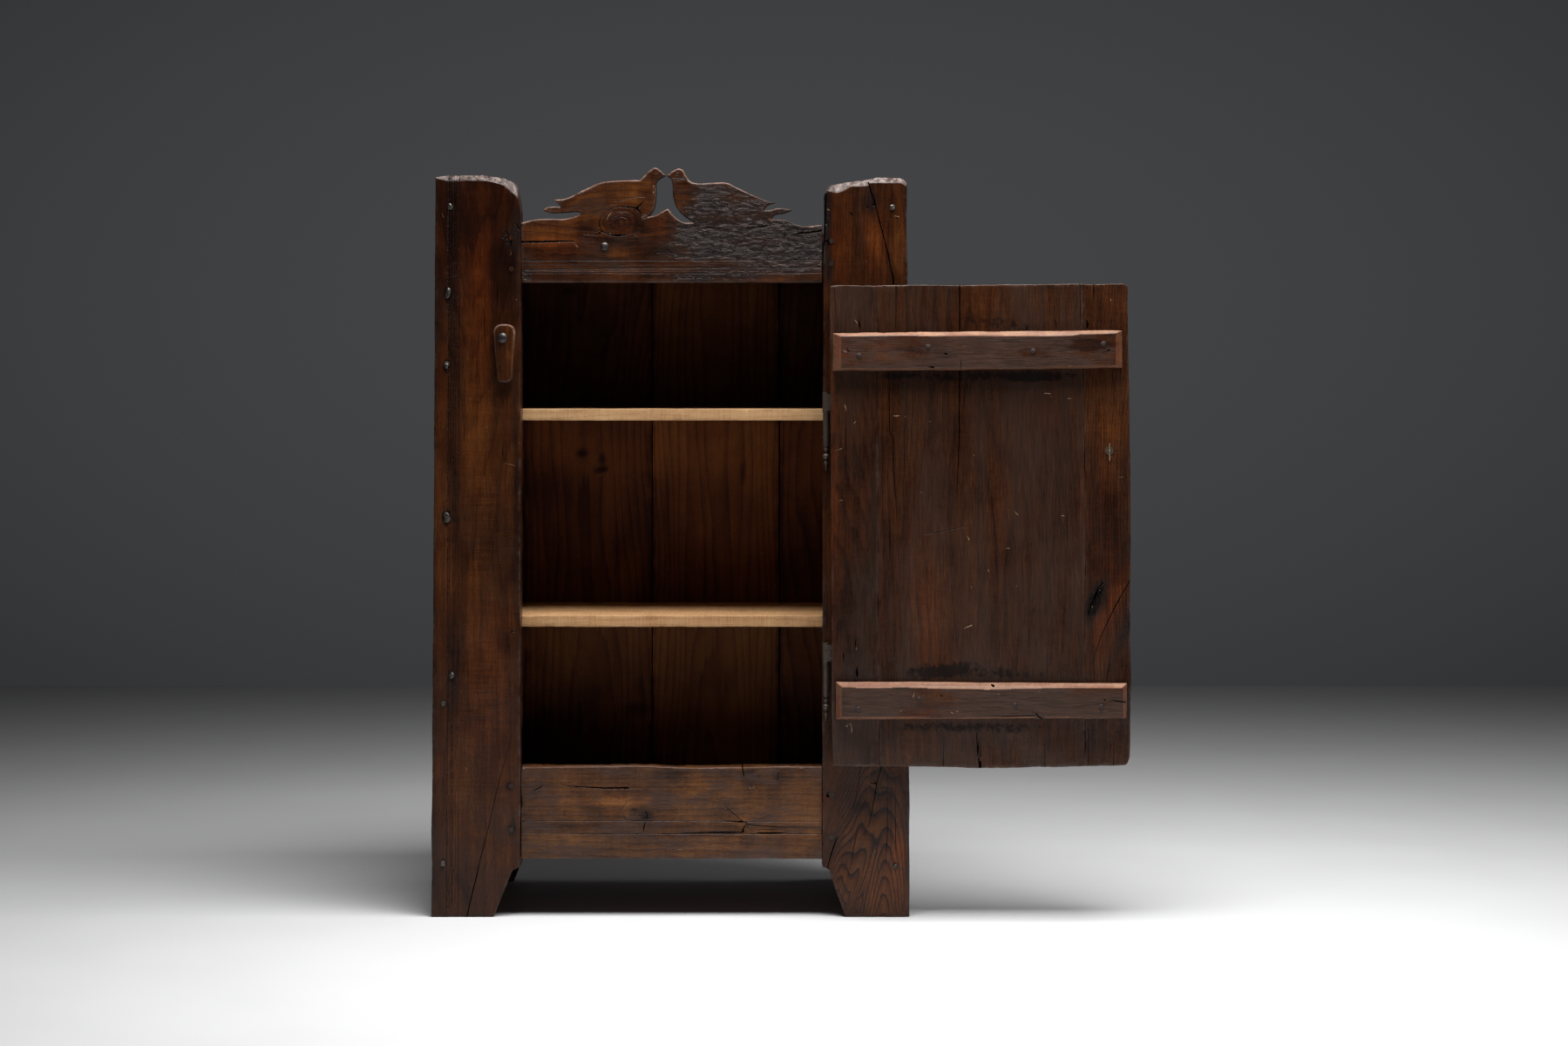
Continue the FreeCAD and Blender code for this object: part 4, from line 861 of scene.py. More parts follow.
crest = {
    "relief": 0.0008, "furrowDepth": 0.0014, "deepest": 0.004, "hollow": 0.0006, "wallSteps": 9,
    "rimWearAndHighlight": 0.9, "rimReach": 0.0012, "rimVaries": 0.0014, "glint": 0.011, "upWallHighlight": 0.6,
    "warp": 0.004, "warpPatch": 0.03, "furrowPatch": (0.03, 0.02, 0.007), "furrowSharp": 2.2,
    "reliefPatch": 0.06, "hollowPatch": 0.018, "flatFrom": 0.004, "backEdge": 0.004,
    "wallEdge": 0.0005,
    "fillFrom": 0.0042, "rimRings": (0.0005, 0.0013, 0.0024, 0.0036),
    "front": railFace, "back": -0.16, "round": 0.003, "grid": 0.0024, "edgeStep": 0.0016,
    "left": -0.258, "right": 0.261, "bottom": 1.0923, "height": 0.198, "seed": 41,
    "axes": (0, 2, 1), "heart": (1.12, -0.02), "ring": 0.0065, "wander": 0.006,
    "knots": [(0.1075 - 0.195, 1.196, 0.029)],
    "runs": (
        ((0.046, 0.547), (0.095, 0.555), (0.14, 0.553), (0.18, 0.576), (0.193, 0.588)),
        ((0.1965, 0.604), (0.185, 0.62), (0.139, 0.613), (0.1, 0.609), (0.072, 0.629)),
        ((0.087, 0.653), (0.104, 0.66), (0.132, 0.661)), ((0.109, 0.719),),
        ((0.153, 0.734), (0.212, 0.81), (0.268, 0.871), (0.329, 0.888), (0.395, 0.891)),
        ((0.417, 0.951), (0.436, 0.992), (0.446, 1.0), (0.461, 0.979), (0.478, 0.934)),
        ((0.461, 0.91), (0.4485, 0.873), (0.448, 0.79), (0.4455, 0.697), (0.438, 0.63),
            (0.42, 0.575), (0.406, 0.568)),
        ((0.441, 0.581), (0.465, 0.612), (0.4875, 0.644)),
        ((0.503, 0.591), (0.531, 0.533), (0.554, 0.521), (0.574, 0.524)),
        ((0.545, 0.572), (0.523, 0.625), (0.5105, 0.687), (0.504, 0.765), (0.502, 0.861),
            (0.495, 0.908), (0.483, 0.931)),
        ((0.494, 0.951), (0.505, 0.973), (0.524, 0.992), (0.538, 0.975), (0.546, 0.935),
            (0.562, 0.88), (0.593, 0.862), (0.632, 0.867), (0.682, 0.867), (0.718, 0.823),
            (0.769, 0.76), (0.826, 0.699)),
        ((0.842, 0.697),), ((0.818, 0.675), (0.804, 0.627)),
        ((0.828, 0.63), (0.851, 0.646), (0.881, 0.641), (0.899, 0.632)),
        ((0.874, 0.606), (0.844, 0.593), (0.828, 0.549)),
        ((0.856, 0.547), (0.88, 0.541), (0.911, 0.505), (0.945, 0.489), (1.0, 0.502)),
        ((1.0, 0.0),), ((0.0, 0.0),), ((0.0, 0.519),)),
    **placed(railFace,
        cracks=[[(598, 277.8, 1.5), (622, 277.5, 1.4), (640, 277, 1.3), (658, 277, .9),
            (660.5, 279, -.2)], [(706, 238.5, -.2), (710, 237, .7), (720, 237.6, 1.0),
            (731, 239, 1.1), (736, 234, .8), (740.5, 229.6, .1)], [(731, 239, 1.0), (735, 243, .6),
            (736.5, 247, -.2)], [(669, 269.3, -.2), (676, 269, .6), (685.6, 269.4, .9),
            (690, 266.2, .6), (692.5, 265, -.2)], [(706, 268.6, .2), (709, 270.5, 1.5),
            (713, 269.3, .9), (720, 268.4, -.2)], [(709, 237, .3), (700, 240.6, .4),
            (692.5, 246, .1), (688.2, 253.5, .4), (688.4, 260.5, .6), (692, 266, .7),
            (699, 269.6, .7), (709, 271, 1.0), (718, 270.2, .5), (727, 266.8, .3), (733.6, 260, .0),
            (736, 253, .1), (734.6, 245, .3), (730.6, 239.6, .6)], [(725, 266.5, -.2),
            (729, 269.5, .6), (732.5, 272, -.2)], [(805, 261.6, -.2), (812, 261.2, .8),
            (828, 262, .8), (833, 261, -.2)], [(852, 261.8, -.2), (858, 261.4, .9), (876, 260, .9),
            (882, 258.4, .5), (890, 258, -.2)], [(908, 270.5, -.2), (918, 267.3, 1.2),
            (930, 266.8, 1.4), (946, 264, 1.3)], [(758, 280, -.2), (765, 286, .5), (772, 290, .6),
            (778, 291, -.2)], [(775, 250, -.2), (779, 255.5, .7), (786, 258, .5), (790, 263, -.2)]],
        grooves=[[(596, 299.4, .9), (700, 299.2, .9), (800, 299.4, .8), (947, 297.6, .9)],
            [(596, 309.6, 1.1), (700, 308.4, 1.1), (800, 307.6, 1.2), (947, 306.2, 1.1)],
            [(596, 313.6, .8), (700, 313.4, .8), (770, 314.2, .6), (947, 313.4, .7)],
            [(661, 268.5, .0), (668, 259, .5), (680, 248.5, .6), (699, 237, .6), (715, 229.8, .7),
            (729, 226.3, .8), (741, 226.4, .3)], [(770.5, 203.6, .2), (777, 204.6, .8),
            (787, 203.4, .5)], [(774, 206.8, .2), (780, 207.2, .8), (787.6, 206, .4)],
            [(696, 256, .2), (700, 248, .5), (709, 243.4, .6), (719, 243, .5), (727, 247, .3),
            (729.6, 254, .2)], [(703, 257, .2), (706, 252, .5), (713, 249, .5), (720, 251, .4),
            (722, 256, .2)], [(752.2, 198.2, .6), (754.4, 199.4, .7)], [(776.5, 197.6, .6),
            (779, 198.4, .7)]],
        scratches=[[(750.2, 212.6, .5), (750.2, 214.6, .6)], [(750.2, 219.6, .5), (750.2, 222, .6)],
            [(659, 279.5, .0), (662, 282, .5), (664, 284, .0)], [(701, 266.5, .2), (700, 270, .5)],
            [(703, 242.5, .1), (699, 247, .5), (697, 252, .2)]],
        tones=[(640, 272, 40, 12, .12), (650, 246, 40, 12, .1), (715, 254, 22, 15, -.14, -12),
            (700, 215, 50, 16, .02), (700, 290, 60, 12, .02), (800, 288, 14, 8, .15),
            (783, 230, 12, 26, .05), (640, 302, 40, 5, -.04), (760, 262, 6, 22, .1),
            (700, 320, 60, 4, .06), (740, 208, 12, 14, .04), (900, 290, 40, 14, -.03),
            (672, 262, 14, 7, -.16, 20), (648, 288, 30, 8, -.1), (702, 276, 36, 6, -.18),
            (606, 300, 16, 14, -.2), (735, 262, 8, 8, -.14), (620, 317, 30, 7, -.14),
            (616, 264, 20, 6, .1), (668, 226, 24, 9, .1, -12), (728, 224, 7, 12, .16),
            (662, 242, 30, 5, .06), (690, 300, 60, 4, -.08), (780, 317, 60, 6, -.1),
            (740, 285, 22, 8, -.08), (826, 216, 10, 8, .08), (776, 238, 7, 16, .12)],
        reds=[(640, 280, 50, 18, .4), (715, 254, 24, 17, .3), (756, 262, 8, 16, .5),
            (870, 210, 40, 16, .3)],
        weathered=[(858, 252, 78, 36, 1.0), (800, 262, 30, 22, .7), (790, 288, 36, 14, .6),
            (860, 286, 80, 16, .9), (920, 285, 40, 26, .9), (815, 222, 16, 22, .5),
            (820, 317, 60, 6, .8), (604, 316, 8, 8, .6), (786, 286, 12, 7, -.6),
            (870, 308, 90, 6, .35)]),
}


def smoothRun(points, step):
    # a Catmull-Rom curve through the points, then points at even steps along it
    points = np.array(points, float)
    if len(points) == 2:
        fine = points
    else:
        slopes = np.gradient(points, axis=0)
        t = np.linspace(0, 1, 25)[:-1, None, None]
        p, q, m, n = points[:-1], points[1:], slopes[:-1], slopes[1:]
        curve = ((2 * t ** 3 - 3 * t ** 2 + 1) * p + (t ** 3 - 2 * t ** 2 + t) * m
                 + (3 * t ** 2 - 2 * t ** 3) * q + (t ** 3 - t ** 2) * n)
        fine = np.concatenate([curve.transpose(1, 0, 2).reshape(-1, 2), points[-1:]])
    gone = np.concatenate([[0], np.cumsum(np.linalg.norm(np.diff(fine, axis=0), axis=1))])
    count = max(2, int(round(gone[-1] / step)) + 1)
    even = np.linspace(0, gone[-1], count)[:-1]
    return np.stack([np.interp(even, gone, fine[:, k]) for k in range(2)], 1)


def outlineDistance(flat, outline):
    # the distance from each point to the closed outline, whether it lies inside, and how much the
    # nearest stretch of outline faces up
    best, crossings, facing = np.full(len(flat), 1.0), np.zeros(len(flat), int), np.zeros(len(flat))
    for start, end in zip(outline, np.roll(outline, -1, axis=0)):
        run = end - start
        share = np.clip((flat - start) @ run / (run @ run), 0, 1)
        away = np.linalg.norm(flat - start - share[:, None] * run, axis=1)
        facing = np.where(away < best, -run[0] / np.linalg.norm(run), facing)
        best = np.minimum(best, away)
        upward = (start[1] > flat[:, 1]) != (end[1] > flat[:, 1])
        rise = run[1] if abs(run[1]) > 1e-12 else 1e-12
        level = start[0] + (flat[:, 1] - start[1]) * run[0] / rise
        crossings += upward & (flat[:, 0] < level)
    return best, crossings % 2 == 1, facing


def carvedRail(s):
    # y runs from the front face to the back face; near the outline both faces roll over by
    # round - sqrt(round^2 - (round - distance)^2)
    width = s["right"] - s["left"]
    size = np.array([width, s["height"]])
    origin = np.array([s["left"], s["bottom"]])
    parts, last = [], s["runs"][-1][-1]
    for run in s["runs"]:
        parts.append(smoothRun(np.array((last, *run)) * size + origin, s["edgeStep"] * coarser))
        last = run[-1]
    outline = np.concatenate(parts)[::-1]
    grid = s["grid"] * coarser
    gx, gz = np.meshgrid(
        np.arange(s["left"], s["right"], grid),
        np.arange(s["bottom"], s["bottom"] + s["height"], grid * 0.87), indexing="ij")
    gx = gx + (np.arange(gx.shape[1]) % 2)[None, :] * grid / 2
    spots = np.stack([gx.ravel(), gz.ravel()], 1)
    gap, inside, facing = outlineDistance(spots, outline)
    kept = [outline, spots[inside & (gap > s["fillFrom"])]]
    heading = np.roll(outline, -1, axis=0) - np.roll(outline, 1, axis=0)
    inward = np.stack([-heading[:, 1], heading[:, 0]], 1)
    inward = inward / np.linalg.norm(heading, axis=1, keepdims=True)
    for offset in s["rimRings"]:
        ring = outline + inward * offset
        gap, inside, facing = outlineDistance(ring, outline)
        kept.append(ring[inside & (gap > offset * 0.93)])
    flat = np.concatenate(kept)
    count = len(outline)
    edges = [(k, (k + 1) % count) for k in range(count)]
    found = delaunay_2d_cdt([Vector(p) for p in flat.tolist()], edges, [], 1, 1e-7)
    flat = np.array([(p.x, p.y) for p in found[0]])
    triangles = np.array(found[2], int)
    corner = flat[triangles]
    first, second = corner[:, 1] - corner[:, 0], corner[:, 2] - corner[:, 0]
    turned = first[:, 0] * second[:, 1] < first[:, 1] * second[:, 0]
    triangles[turned] = triangles[turned][:, ::-1]
    place = {}
    for k, source in enumerate(found[3]):
        for one in source:
            if one < count:
                place[one] = k
    rim = np.array([place[k] for k in range(count)])
    gap, inside, facing = outlineDistance(flat, outline)
    gap[rim] = 0
    inRound = np.maximum(s["round"] - gap, 0)
    roll = s["round"] - np.sqrt(np.maximum(s["round"] ** 2 - inRound ** 2, 0))
    solid = np.stack([flat[:, 0], np.full(len(flat), s["front"]), flat[:, 1]], 1)
    weather = np.clip(brushed(flat, s["weathered"]), 0, 1)
    warped = solid + s["warp"] * crumble(solid, s["warpPatch"], 9)[:, None] * np.array([0, 0, 1.0])
    furrow = 1 - np.abs(crumble(warped, s["furrowPatch"], 5)) * s["furrowSharp"]
    low = (s["relief"] * (0.5 + crumble(solid, s["reliefPatch"], 7))
           + weather * s["furrowDepth"] * np.clip(furrow, 0, 1))
    inside = ease(gap, 0, s["flatFrom"])
    front = s["front"] + roll + np.clip(low, 0, s["deepest"]) * inside
    back = s["back"] - roll - s["hollow"] * inside
    frontPoints = np.stack([flat[:, 0], front, flat[:, 1]], 1)
    backPoints = np.stack([flat[:, 0], back, flat[:, 1]], 1)
    between = np.linspace(s["front"] + s["round"], s["back"] - s["round"], s["wallSteps"])[1:-1]
    walls = np.concatenate([np.stack([flat[rim, 0], np.full(count, y), flat[rim, 1]], 1)
                            for y in between])
    wallHollow = s["hollow"] * (0.5 + crumble(walls, s["hollowPatch"], 8))
    walls[:, [0, 2]] += np.tile(inward, (len(between), 1)) * wallHollow[:, None]
    points = np.concatenate([frontPoints, backPoints, walls])
    total = len(flat)
    inner = [2 * total + k * count + np.arange(count) for k in range(len(between))]
    strip = np.stack([np.append(row, row[0]) for row in [rim] + inner + [total + rim]])
    sideQuads = quads(strip)
    sideTriangles = np.concatenate([sideQuads[:, [0, 1, 2]], sideQuads[:, [0, 2, 3]]])
    faces = np.concatenate([triangles, triangles[:, ::-1] + total, sideTriangles])
    toEdge = np.concatenate([gap, gap + s["backEdge"], np.full(len(walls), s["wallEdge"])])
    up = np.concatenate([inward[:, 1] < -0.2] * len(between))
    # painted highlight: a lighter worn colour along the edges that face up, in glints, and on the
    # walls that face up
    glints = 0.62 + 0.55 * crumble(solid, s["glint"], 13)
    lit = s["rimWearAndHighlight"] * np.exp(-(gap / (s["rimReach"] + s["rimVaries"] * glints)) ** 2)
    lit = lit * np.clip(facing * 1.5, 0, 1) * np.clip(glints, 0.1, 1.3)
    extra = {"wear": np.concatenate([lit, lit * 0, s["upWallHighlight"] * up])}
    fields = finishFields(points, toEdge, s, extra)
    writeMesh("crest_rail_dressed", points, faces, "carcass", ["crest_rail"], "leg_wood",
              crestWood, *fields)


carvedRail(crest)
print("crest made")


# Bottom rail

bottomRail = {
    "bottom": 0.099, "top": 0.2588, "overTop": 0.0005, "topWearAndHighlight": 0.5, "topWearAndHighlightReach": 0.003,
    "wearAndHighlightTo": -0.19,
    "axes": (0, 2, 1), "step": (0.003, 0.007, 0.003), "low": {0: -0.2585}, "high": {0: 0.2615},
    "edge": 0.002, "heart": (0.05, -0.1), "taper": 0.04, "ring": 0.007, "seed": 53, "hew": 0.0011,
    "hewLength": (0.12, 0.05, 0.05),
    "knots": [(0.141, 0.176, 0.009), (-0.052, 0.178, 0.0095), (-0.24, 0.215, 0.008)],
    **placed(railFace,
        topLine=[(596, 880.0), (640, 879.8), (690, 879.4), (743, 878.8), (760, 880.2), (800, 881.0),
            (850, 880.4), (900, 879.4), (947, 879.8)],
        bottomLine=[(596, 987.4), (640, 987.0), (700, 987.6), (760, 987.2), (850, 988.0),
            (947, 987.6)],
        cracks=[[(636, 896, -.2), (646.6, 901.3, .4), (658, 902, .6), (670.2, 903.2, .8),
            (693.8, 904.4, 1.1), (719.8, 904.1, 1.4), (724, 904.6, .2), (743, 905.5, -.2)],
            [(611, 910, -.2), (614, 906.6, .6), (620, 903.8, .8), (624, 900, -.2)],
            [(653, 907.7, -.1), (657.5, 909.4, .4), (658.4, 907.5, .4), (665.4, 905.6, -.2)],
            [(629.5, 885.8, -.1), (638.3, 889.6, .15), (643.9, 892.8, .1), (648, 897, -.2)],
            [(709, 935, -.2), (715, 926, .1), (719, 921.5, .15), (720.6, 912, -.2)],
            [(648, 927, -.2), (647.8, 931, .15), (647.6, 938, -.2)], [(633, 932.7, -.1),
            (642.7, 933.9, .1)], [(716.5, 935.5, -.1), (718, 940.2, .4), (731, 942, .3),
            (741, 942, .4)], [(726, 928, .2), (729, 930, .5), (731, 928.4, .1)],
            [(739, 928, -.2), (743, 934, .5), (742.6, 940, .6)], [(822.8, 908.5, -.2),
            (823.4, 914, .2), (823.7, 919, -.2)], [(826, 919.9, -.2), (835, 927, .15),
            (847.3, 937.4, .15), (855, 943, .2)], [(819.3, 933, -.2), (829.8, 940, .1)],
            [(740.4, 942, .4), (739.8, 948, .8), (738.2, 954, .5)], [(775, 956, -.2),
            (789, 955.7, .5), (810, 955.4, 1.0), (826, 955.2, 1.2), (854.3, 955.2, .9),
            (858, 955.6, -.2)], [(820, 941.2, -.2), (837.8, 942.4, .5), (856.6, 943.8, 1.0),
            (859, 946.0, .8), (868.4, 947.4, .7), (884, 948.3, .7), (901.6, 949.2, .4),
            (920, 949.8, .2), (944, 950.2, -.1)], [(857, 945.3, .6), (853, 951, .7),
            (854.3, 955.8, .6)], [(848, 967, -.1), (852, 964, .4), (858, 962.8, -.1)],
            [(866, 955.4, -.2), (874, 955.8, 1.1), (892, 955.8, 1.1), (900, 956, .5),
            (915, 957, -.2)], [(852, 880, .8), (854, 889, .7), (853.5, 893, -.2)],
            [(893, 884, -.2), (893.5, 892, .5), (892, 896, -.2)], [(832, 927, -.2), (842, 934, .4),
            (851, 941, .2)], [(641, 988, .9), (643, 986, .7)]],
        grooves=[[(596, 942.4, .9), (640, 942.2, .9), (740, 942.4, 1.0), (800, 942.6, .5),
            (850, 943, .7), (947, 943.6, .4)], [(596, 956.2, 1.0), (700, 956.6, 1.2),
            (820, 957, 1.0), (947, 957.2, .9)]],
        scratches=[[(777, 975.6, .0), (780, 974.6, .6), (784, 974.8, .1)],
            [(665, 979, .3), (666, 979.6, .6)], [(860, 902, .2), (860.5, 906, .4)],
            [(865.5, 901, .2), (866, 905, .4)]],
        tones=[(701, 919, 26, 7, .2), (744, 920, 9, 7, .16), (655, 966, 36, 8, .14),
            (830, 967, 26, 8, .1), (845, 906, 34, 12, .08), (738, 936, 9, 7, -.22),
            (727, 930, 5, 3, -.25), (728, 922, 12, 5, .14), (705, 920, 16, 3, .14),
            (744, 938, 5, 7, -.25), (767, 888, 18, 8, -.2), (861, 892, 11, 13, -.26),
            (893, 889, 5, 8, -.14), (775, 968, 26, 7, -.1), (609, 907, 12, 16, -.14),
            (650, 949, 46, 5, -.1), (860, 965, 9, 10, -.12), (700, 884, 60, 5, .06),
            (640, 949, 90, 5, -.1), (820, 948, 120, 5, -.06)],
        reds=[(700, 915, 60, 20, .25)]),
}


def unevenRail(s):
    # heights slide from the straight block to the worn top and bottom lines
    def bend(points, nominal, extra):
        x, y, z = points.T
        low, high = s["bottom"], s["top"]
        share = (z - low) / (high - low)
        bottom = np.maximum(through(x, s["bottomLine"]), low)
        top = np.minimum(through(x, s["topLine"]), high + s["overTop"])
        # the front of the top face takes the lighter worn colour: wear, and partly a painted
        # highlight where the top catches the light
        worn = s["topWearAndHighlight"] * ease(nominal[:, 2], high - s["topWearAndHighlightReach"], high)
        extra["wear"] = worn * (nominal[:, 1] < s["wearAndHighlightTo"])
        return np.stack([x, y, bottom + share * (top - bottom)], 1)
    return bend


board("bottom_rail", bottomRail, slot="leg_wood", material=railWood, bend=unevenRail(bottomRail))


# Rails, sides, back, top and bottom: plain boards, each with its own grain

backRails = {"axes": (0, 2, 1), "low": {0: -0.256}, "high": {0: 0.256},
             "step": (0.008, 0.008, 0.006)}
for name, seed, heart in (("upper", 61, (1.1, 0.3)), ("lower", 62, (0.15, 0.33))):
    board("back_rail_" + name, {**backRails, "seed": seed, "heart": heart}, slot="leg_wood",
          material=legWood)

sideBoards = {"axes": (2, 1, 0), "step": (0.008, 0.006, 0.006), "hew": 0.0008, "ring": 0.0065,
              "wander": 0.012}
for index, name in enumerate(("left_front", "left_back", "right_front", "right_back")):
    sign = -1 if name.startswith("left") else 1
    ends = {"low": {0: -0.406}} if sign < 0 else {"high": {0: 0.406}}
    grain = {"seed": 71 + index, "heart": (0.02 * index - 0.05, sign * 0.3)}
    board("side_board_" + name, {**sideBoards, **ends, **grain}, material=sideWood)

backBoards = {
    "axes": (2, 0, 1), "step": (0.004, 0.007, 0.004), "hew": 0.0006, "ring": 0.009, "wander": 0.01,
    "edge": 0.0016, "wear": 0.0, "edgeGrime": 0.5, "chip": 0.0003,
    **placed(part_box("back_board_2")[0][1],
        cracks=[[(748.9, 300, .7), (748.9, 900, .7)], [(894.8, 300, 1.0), (894.8, 900, 1.0)]]),
}
# strokes in metres: x, z, half lengths, amount, turn; a look's knots are height, x and radius
# painted light: two broad lighter bands across the back boards, one in each of the two lower
# compartments, where light reaches in
paintedBackLight = [(0.0, 0.40, 0.5, 0.13, 0.2), (0.0, 0.79, 0.5, 0.06, 0.06)]
backKnots = [
    (-0.1746, 0.788, 0.009, 0.006, -0.5), (-0.14, 0.758, 0.012, 0.005, -0.5, 10),
    (-0.138, 0.776, 0.006, 0.012, -0.3), (-0.2, 1.085, 0.013, 0.006, -0.3),
    (0.12, 0.752, 0.006, 0.02, -0.2), (-0.02, 0.69, 0.004, 0.06, -0.15),
    (-0.075, 0.32, 0.03, 0.012, -0.2), (-0.07, 0.36, 0.01, 0.02, -0.15)]
boardLooks = [
    {"heart": (-0.33, 0.3), "seed": 81, "tone": -0.1},
    {"heart": (-0.17, 0.24), "seed": 82, "tone": -0.06, "knots": [(0.788, -0.1746, 0.012),
        (0.758, -0.14, 0.009), (1.085, -0.2, 0.014)]},
    {"heart": (0.07, 0.235), "seed": 83, "ring": 0.008, "tone": 0.06},
    {"heart": (0.28, 0.27), "seed": 84, "tone": -0.1, "knots": [(1.06, 0.235, 0.01)]}]


wallSide = {"tone": -0.3, "from": 0.152, "to": 0.165}


def dimBack(points, nominal, extra):
    # painted shade: the side that faces the wall is darker
    extra["tone"] = wallSide["tone"] * ease(nominal[:, 1], wallSide["from"], wallSide["to"])
    return points


boardMeet = 0.0022  # each board is this much wider where it meets the next one
for index, look in enumerate(boardLooks):
    name = "back_board_%d" % (index + 1)
    low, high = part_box(name)
    wider = {"low": {0: low[0] - (boardMeet if index else 0)},
             "high": {0: high[0] + (boardMeet if index < 3 else 0)}}
    board(name, {**backBoards, **look, **wider, "tones": paintedBackLight + backKnots},
          material=boardWood, bend=dimBack)

floorBoards = {"axes": (0, 1, 2), "step": (0.009, 0.009, 0.007), "ring": 0.007}
for index, name in enumerate(("top_board_front", "top_board_back", "bottom_board_front",
                              "bottom_board_back")):
    grain = {"seed": 91 + index, "heart": (0.03 * index - 0.1, 0.8 + 0.1 * index)}
    board(name, {**floorBoards, **grain}, material=sideWood)

cleats = {"axes": (1, 2, 0), "step": (0.006, 0.008, 0.006), "ring": 0.006}
cleatNames = sorted(n for n in nodes if n.startswith("cleat_") and n != "cleat_nails")
for index, name in enumerate(cleatNames):
    board(name, {**cleats, "seed": 101 + index, "heart": (0.3, 0.3)}, material=boardWood)
print("carcass boards made")


# Shelves: raw pine, sawn front edge

shelves = {"axes": (0, 1, 2), "step": (0.004, 0.005, 0.0035), "edge": 0.002, "hew": 0.0005,
           "hewLength": (0.1, 0.06, 0.06), "chipLength": 0.018, "chip": 0.0012,
           "wearReach": 0.002, "wear": 0.4, "ring": 0.006, "wander": 0.004}
shelfLooks = {"upper": {"seed": 111, "tone": 0.14, "heart": (-0.1, 0.84)},
              "lower": {"seed": 112, "heart": (-0.05, 0.47)}}
for name, look in shelfLooks.items():
    board("shelf_" + name, {**shelves, **look}, slot="pale_pine", material=shelfPine)
print("shelves made")


# Door: three boards with an uneven outline

doorOutline = placed(doorFace,
    topLine=[(950, 328.5), (954, 327.6), (963.6, 326.6), (999, 327.6), (1030, 327), (1058, 326.4),
        (1105, 327), (1140, 326.4), (1176, 326), (1235, 325.3), (1262, 325.6), (1289, 325.2),
        (1293, 326.4), (1294.6, 329.5), (1299, 345)],
    bottomLine=[(950, 879.2), (955.3, 879.6), (1034, 880), (1081.6, 880.4), (1110, 881.6),
        (1128.8, 882), (1150, 881.8), (1176, 881.3), (1223, 880), (1282, 878.8), (1292, 878.2),
        (1295, 876), (1299, 860)],
    hingeEdge=[(952.8, 326), (953.2, 500), (954, 700), (955.2, 880)],
    freeEdge=[(1294.6, 326), (1295.2, 400), (1296.6, 450), (1297.6, 520), (1298, 600),
        (1298.2, 660), (1297, 700), (1298.2, 760), (1298, 850), (1297.2, 880)])
hingeBoard = {
    "seed": 121, "heart": (0.30, -0.42), "ring": 0.004, "wander": 0.02, "tone": -0.04,
    **placed(doorFace,
        tones=[(958, 600, 5, 260, .1), (985, 560, 18, 60, -.04), (982, 700, 30, 90, -.12),
            (990, 340, 20, 30, -.08), (975, 480, 14, 50, .05), (1004, 640, 4, 90, -.12),
            (1000, 870, 10, 16, -.12)],
        reds=[(956, 620, 5, 300, .6)],
        cracks=[[(982.6, 730, -.2), (982.2, 738, 1.0), (982.6, 747, -.2)],
            [(968.6, 745, -.2), (968.2, 752, .9), (968.8, 762, -.2)], [(983.4, 764, -.1),
            (983.8, 771, 1.6), (984.2, 777, .8)], [(985.5, 367, .2), (986.5, 372, 1.1),
            (987.2, 377, .3)], [(970.5, 460, -.2), (971, 510, .3), (972, 560, -.2)],
            [(958, 330, .1), (958.6, 352, .2), (961, 372, .1), (961.5, 380, -.2)]],
        scratches=[[(980.5, 366.4, .1), (983, 369, .7), (985, 372, .2)], [(969.8, 463, .1),
            (970.4, 467, .9), (971.5, 472, .1)], [(979.8, 487, .2), (981, 485, .5), (983, 482, .1)],
            [(957, 517.5, 0), (967, 514.5, .35)], [(962.5, 574.5, .1), (967, 574, .4)],
            [(987.3, 542.6, .3), (987.7, 544, .5)], [(970, 832, .2), (973, 834, .9)],
            [(976, 829, .1), (978, 838, .8), (977, 842, .1)], [(982.6, 732, 0), (983, 746, .3)]]),
}
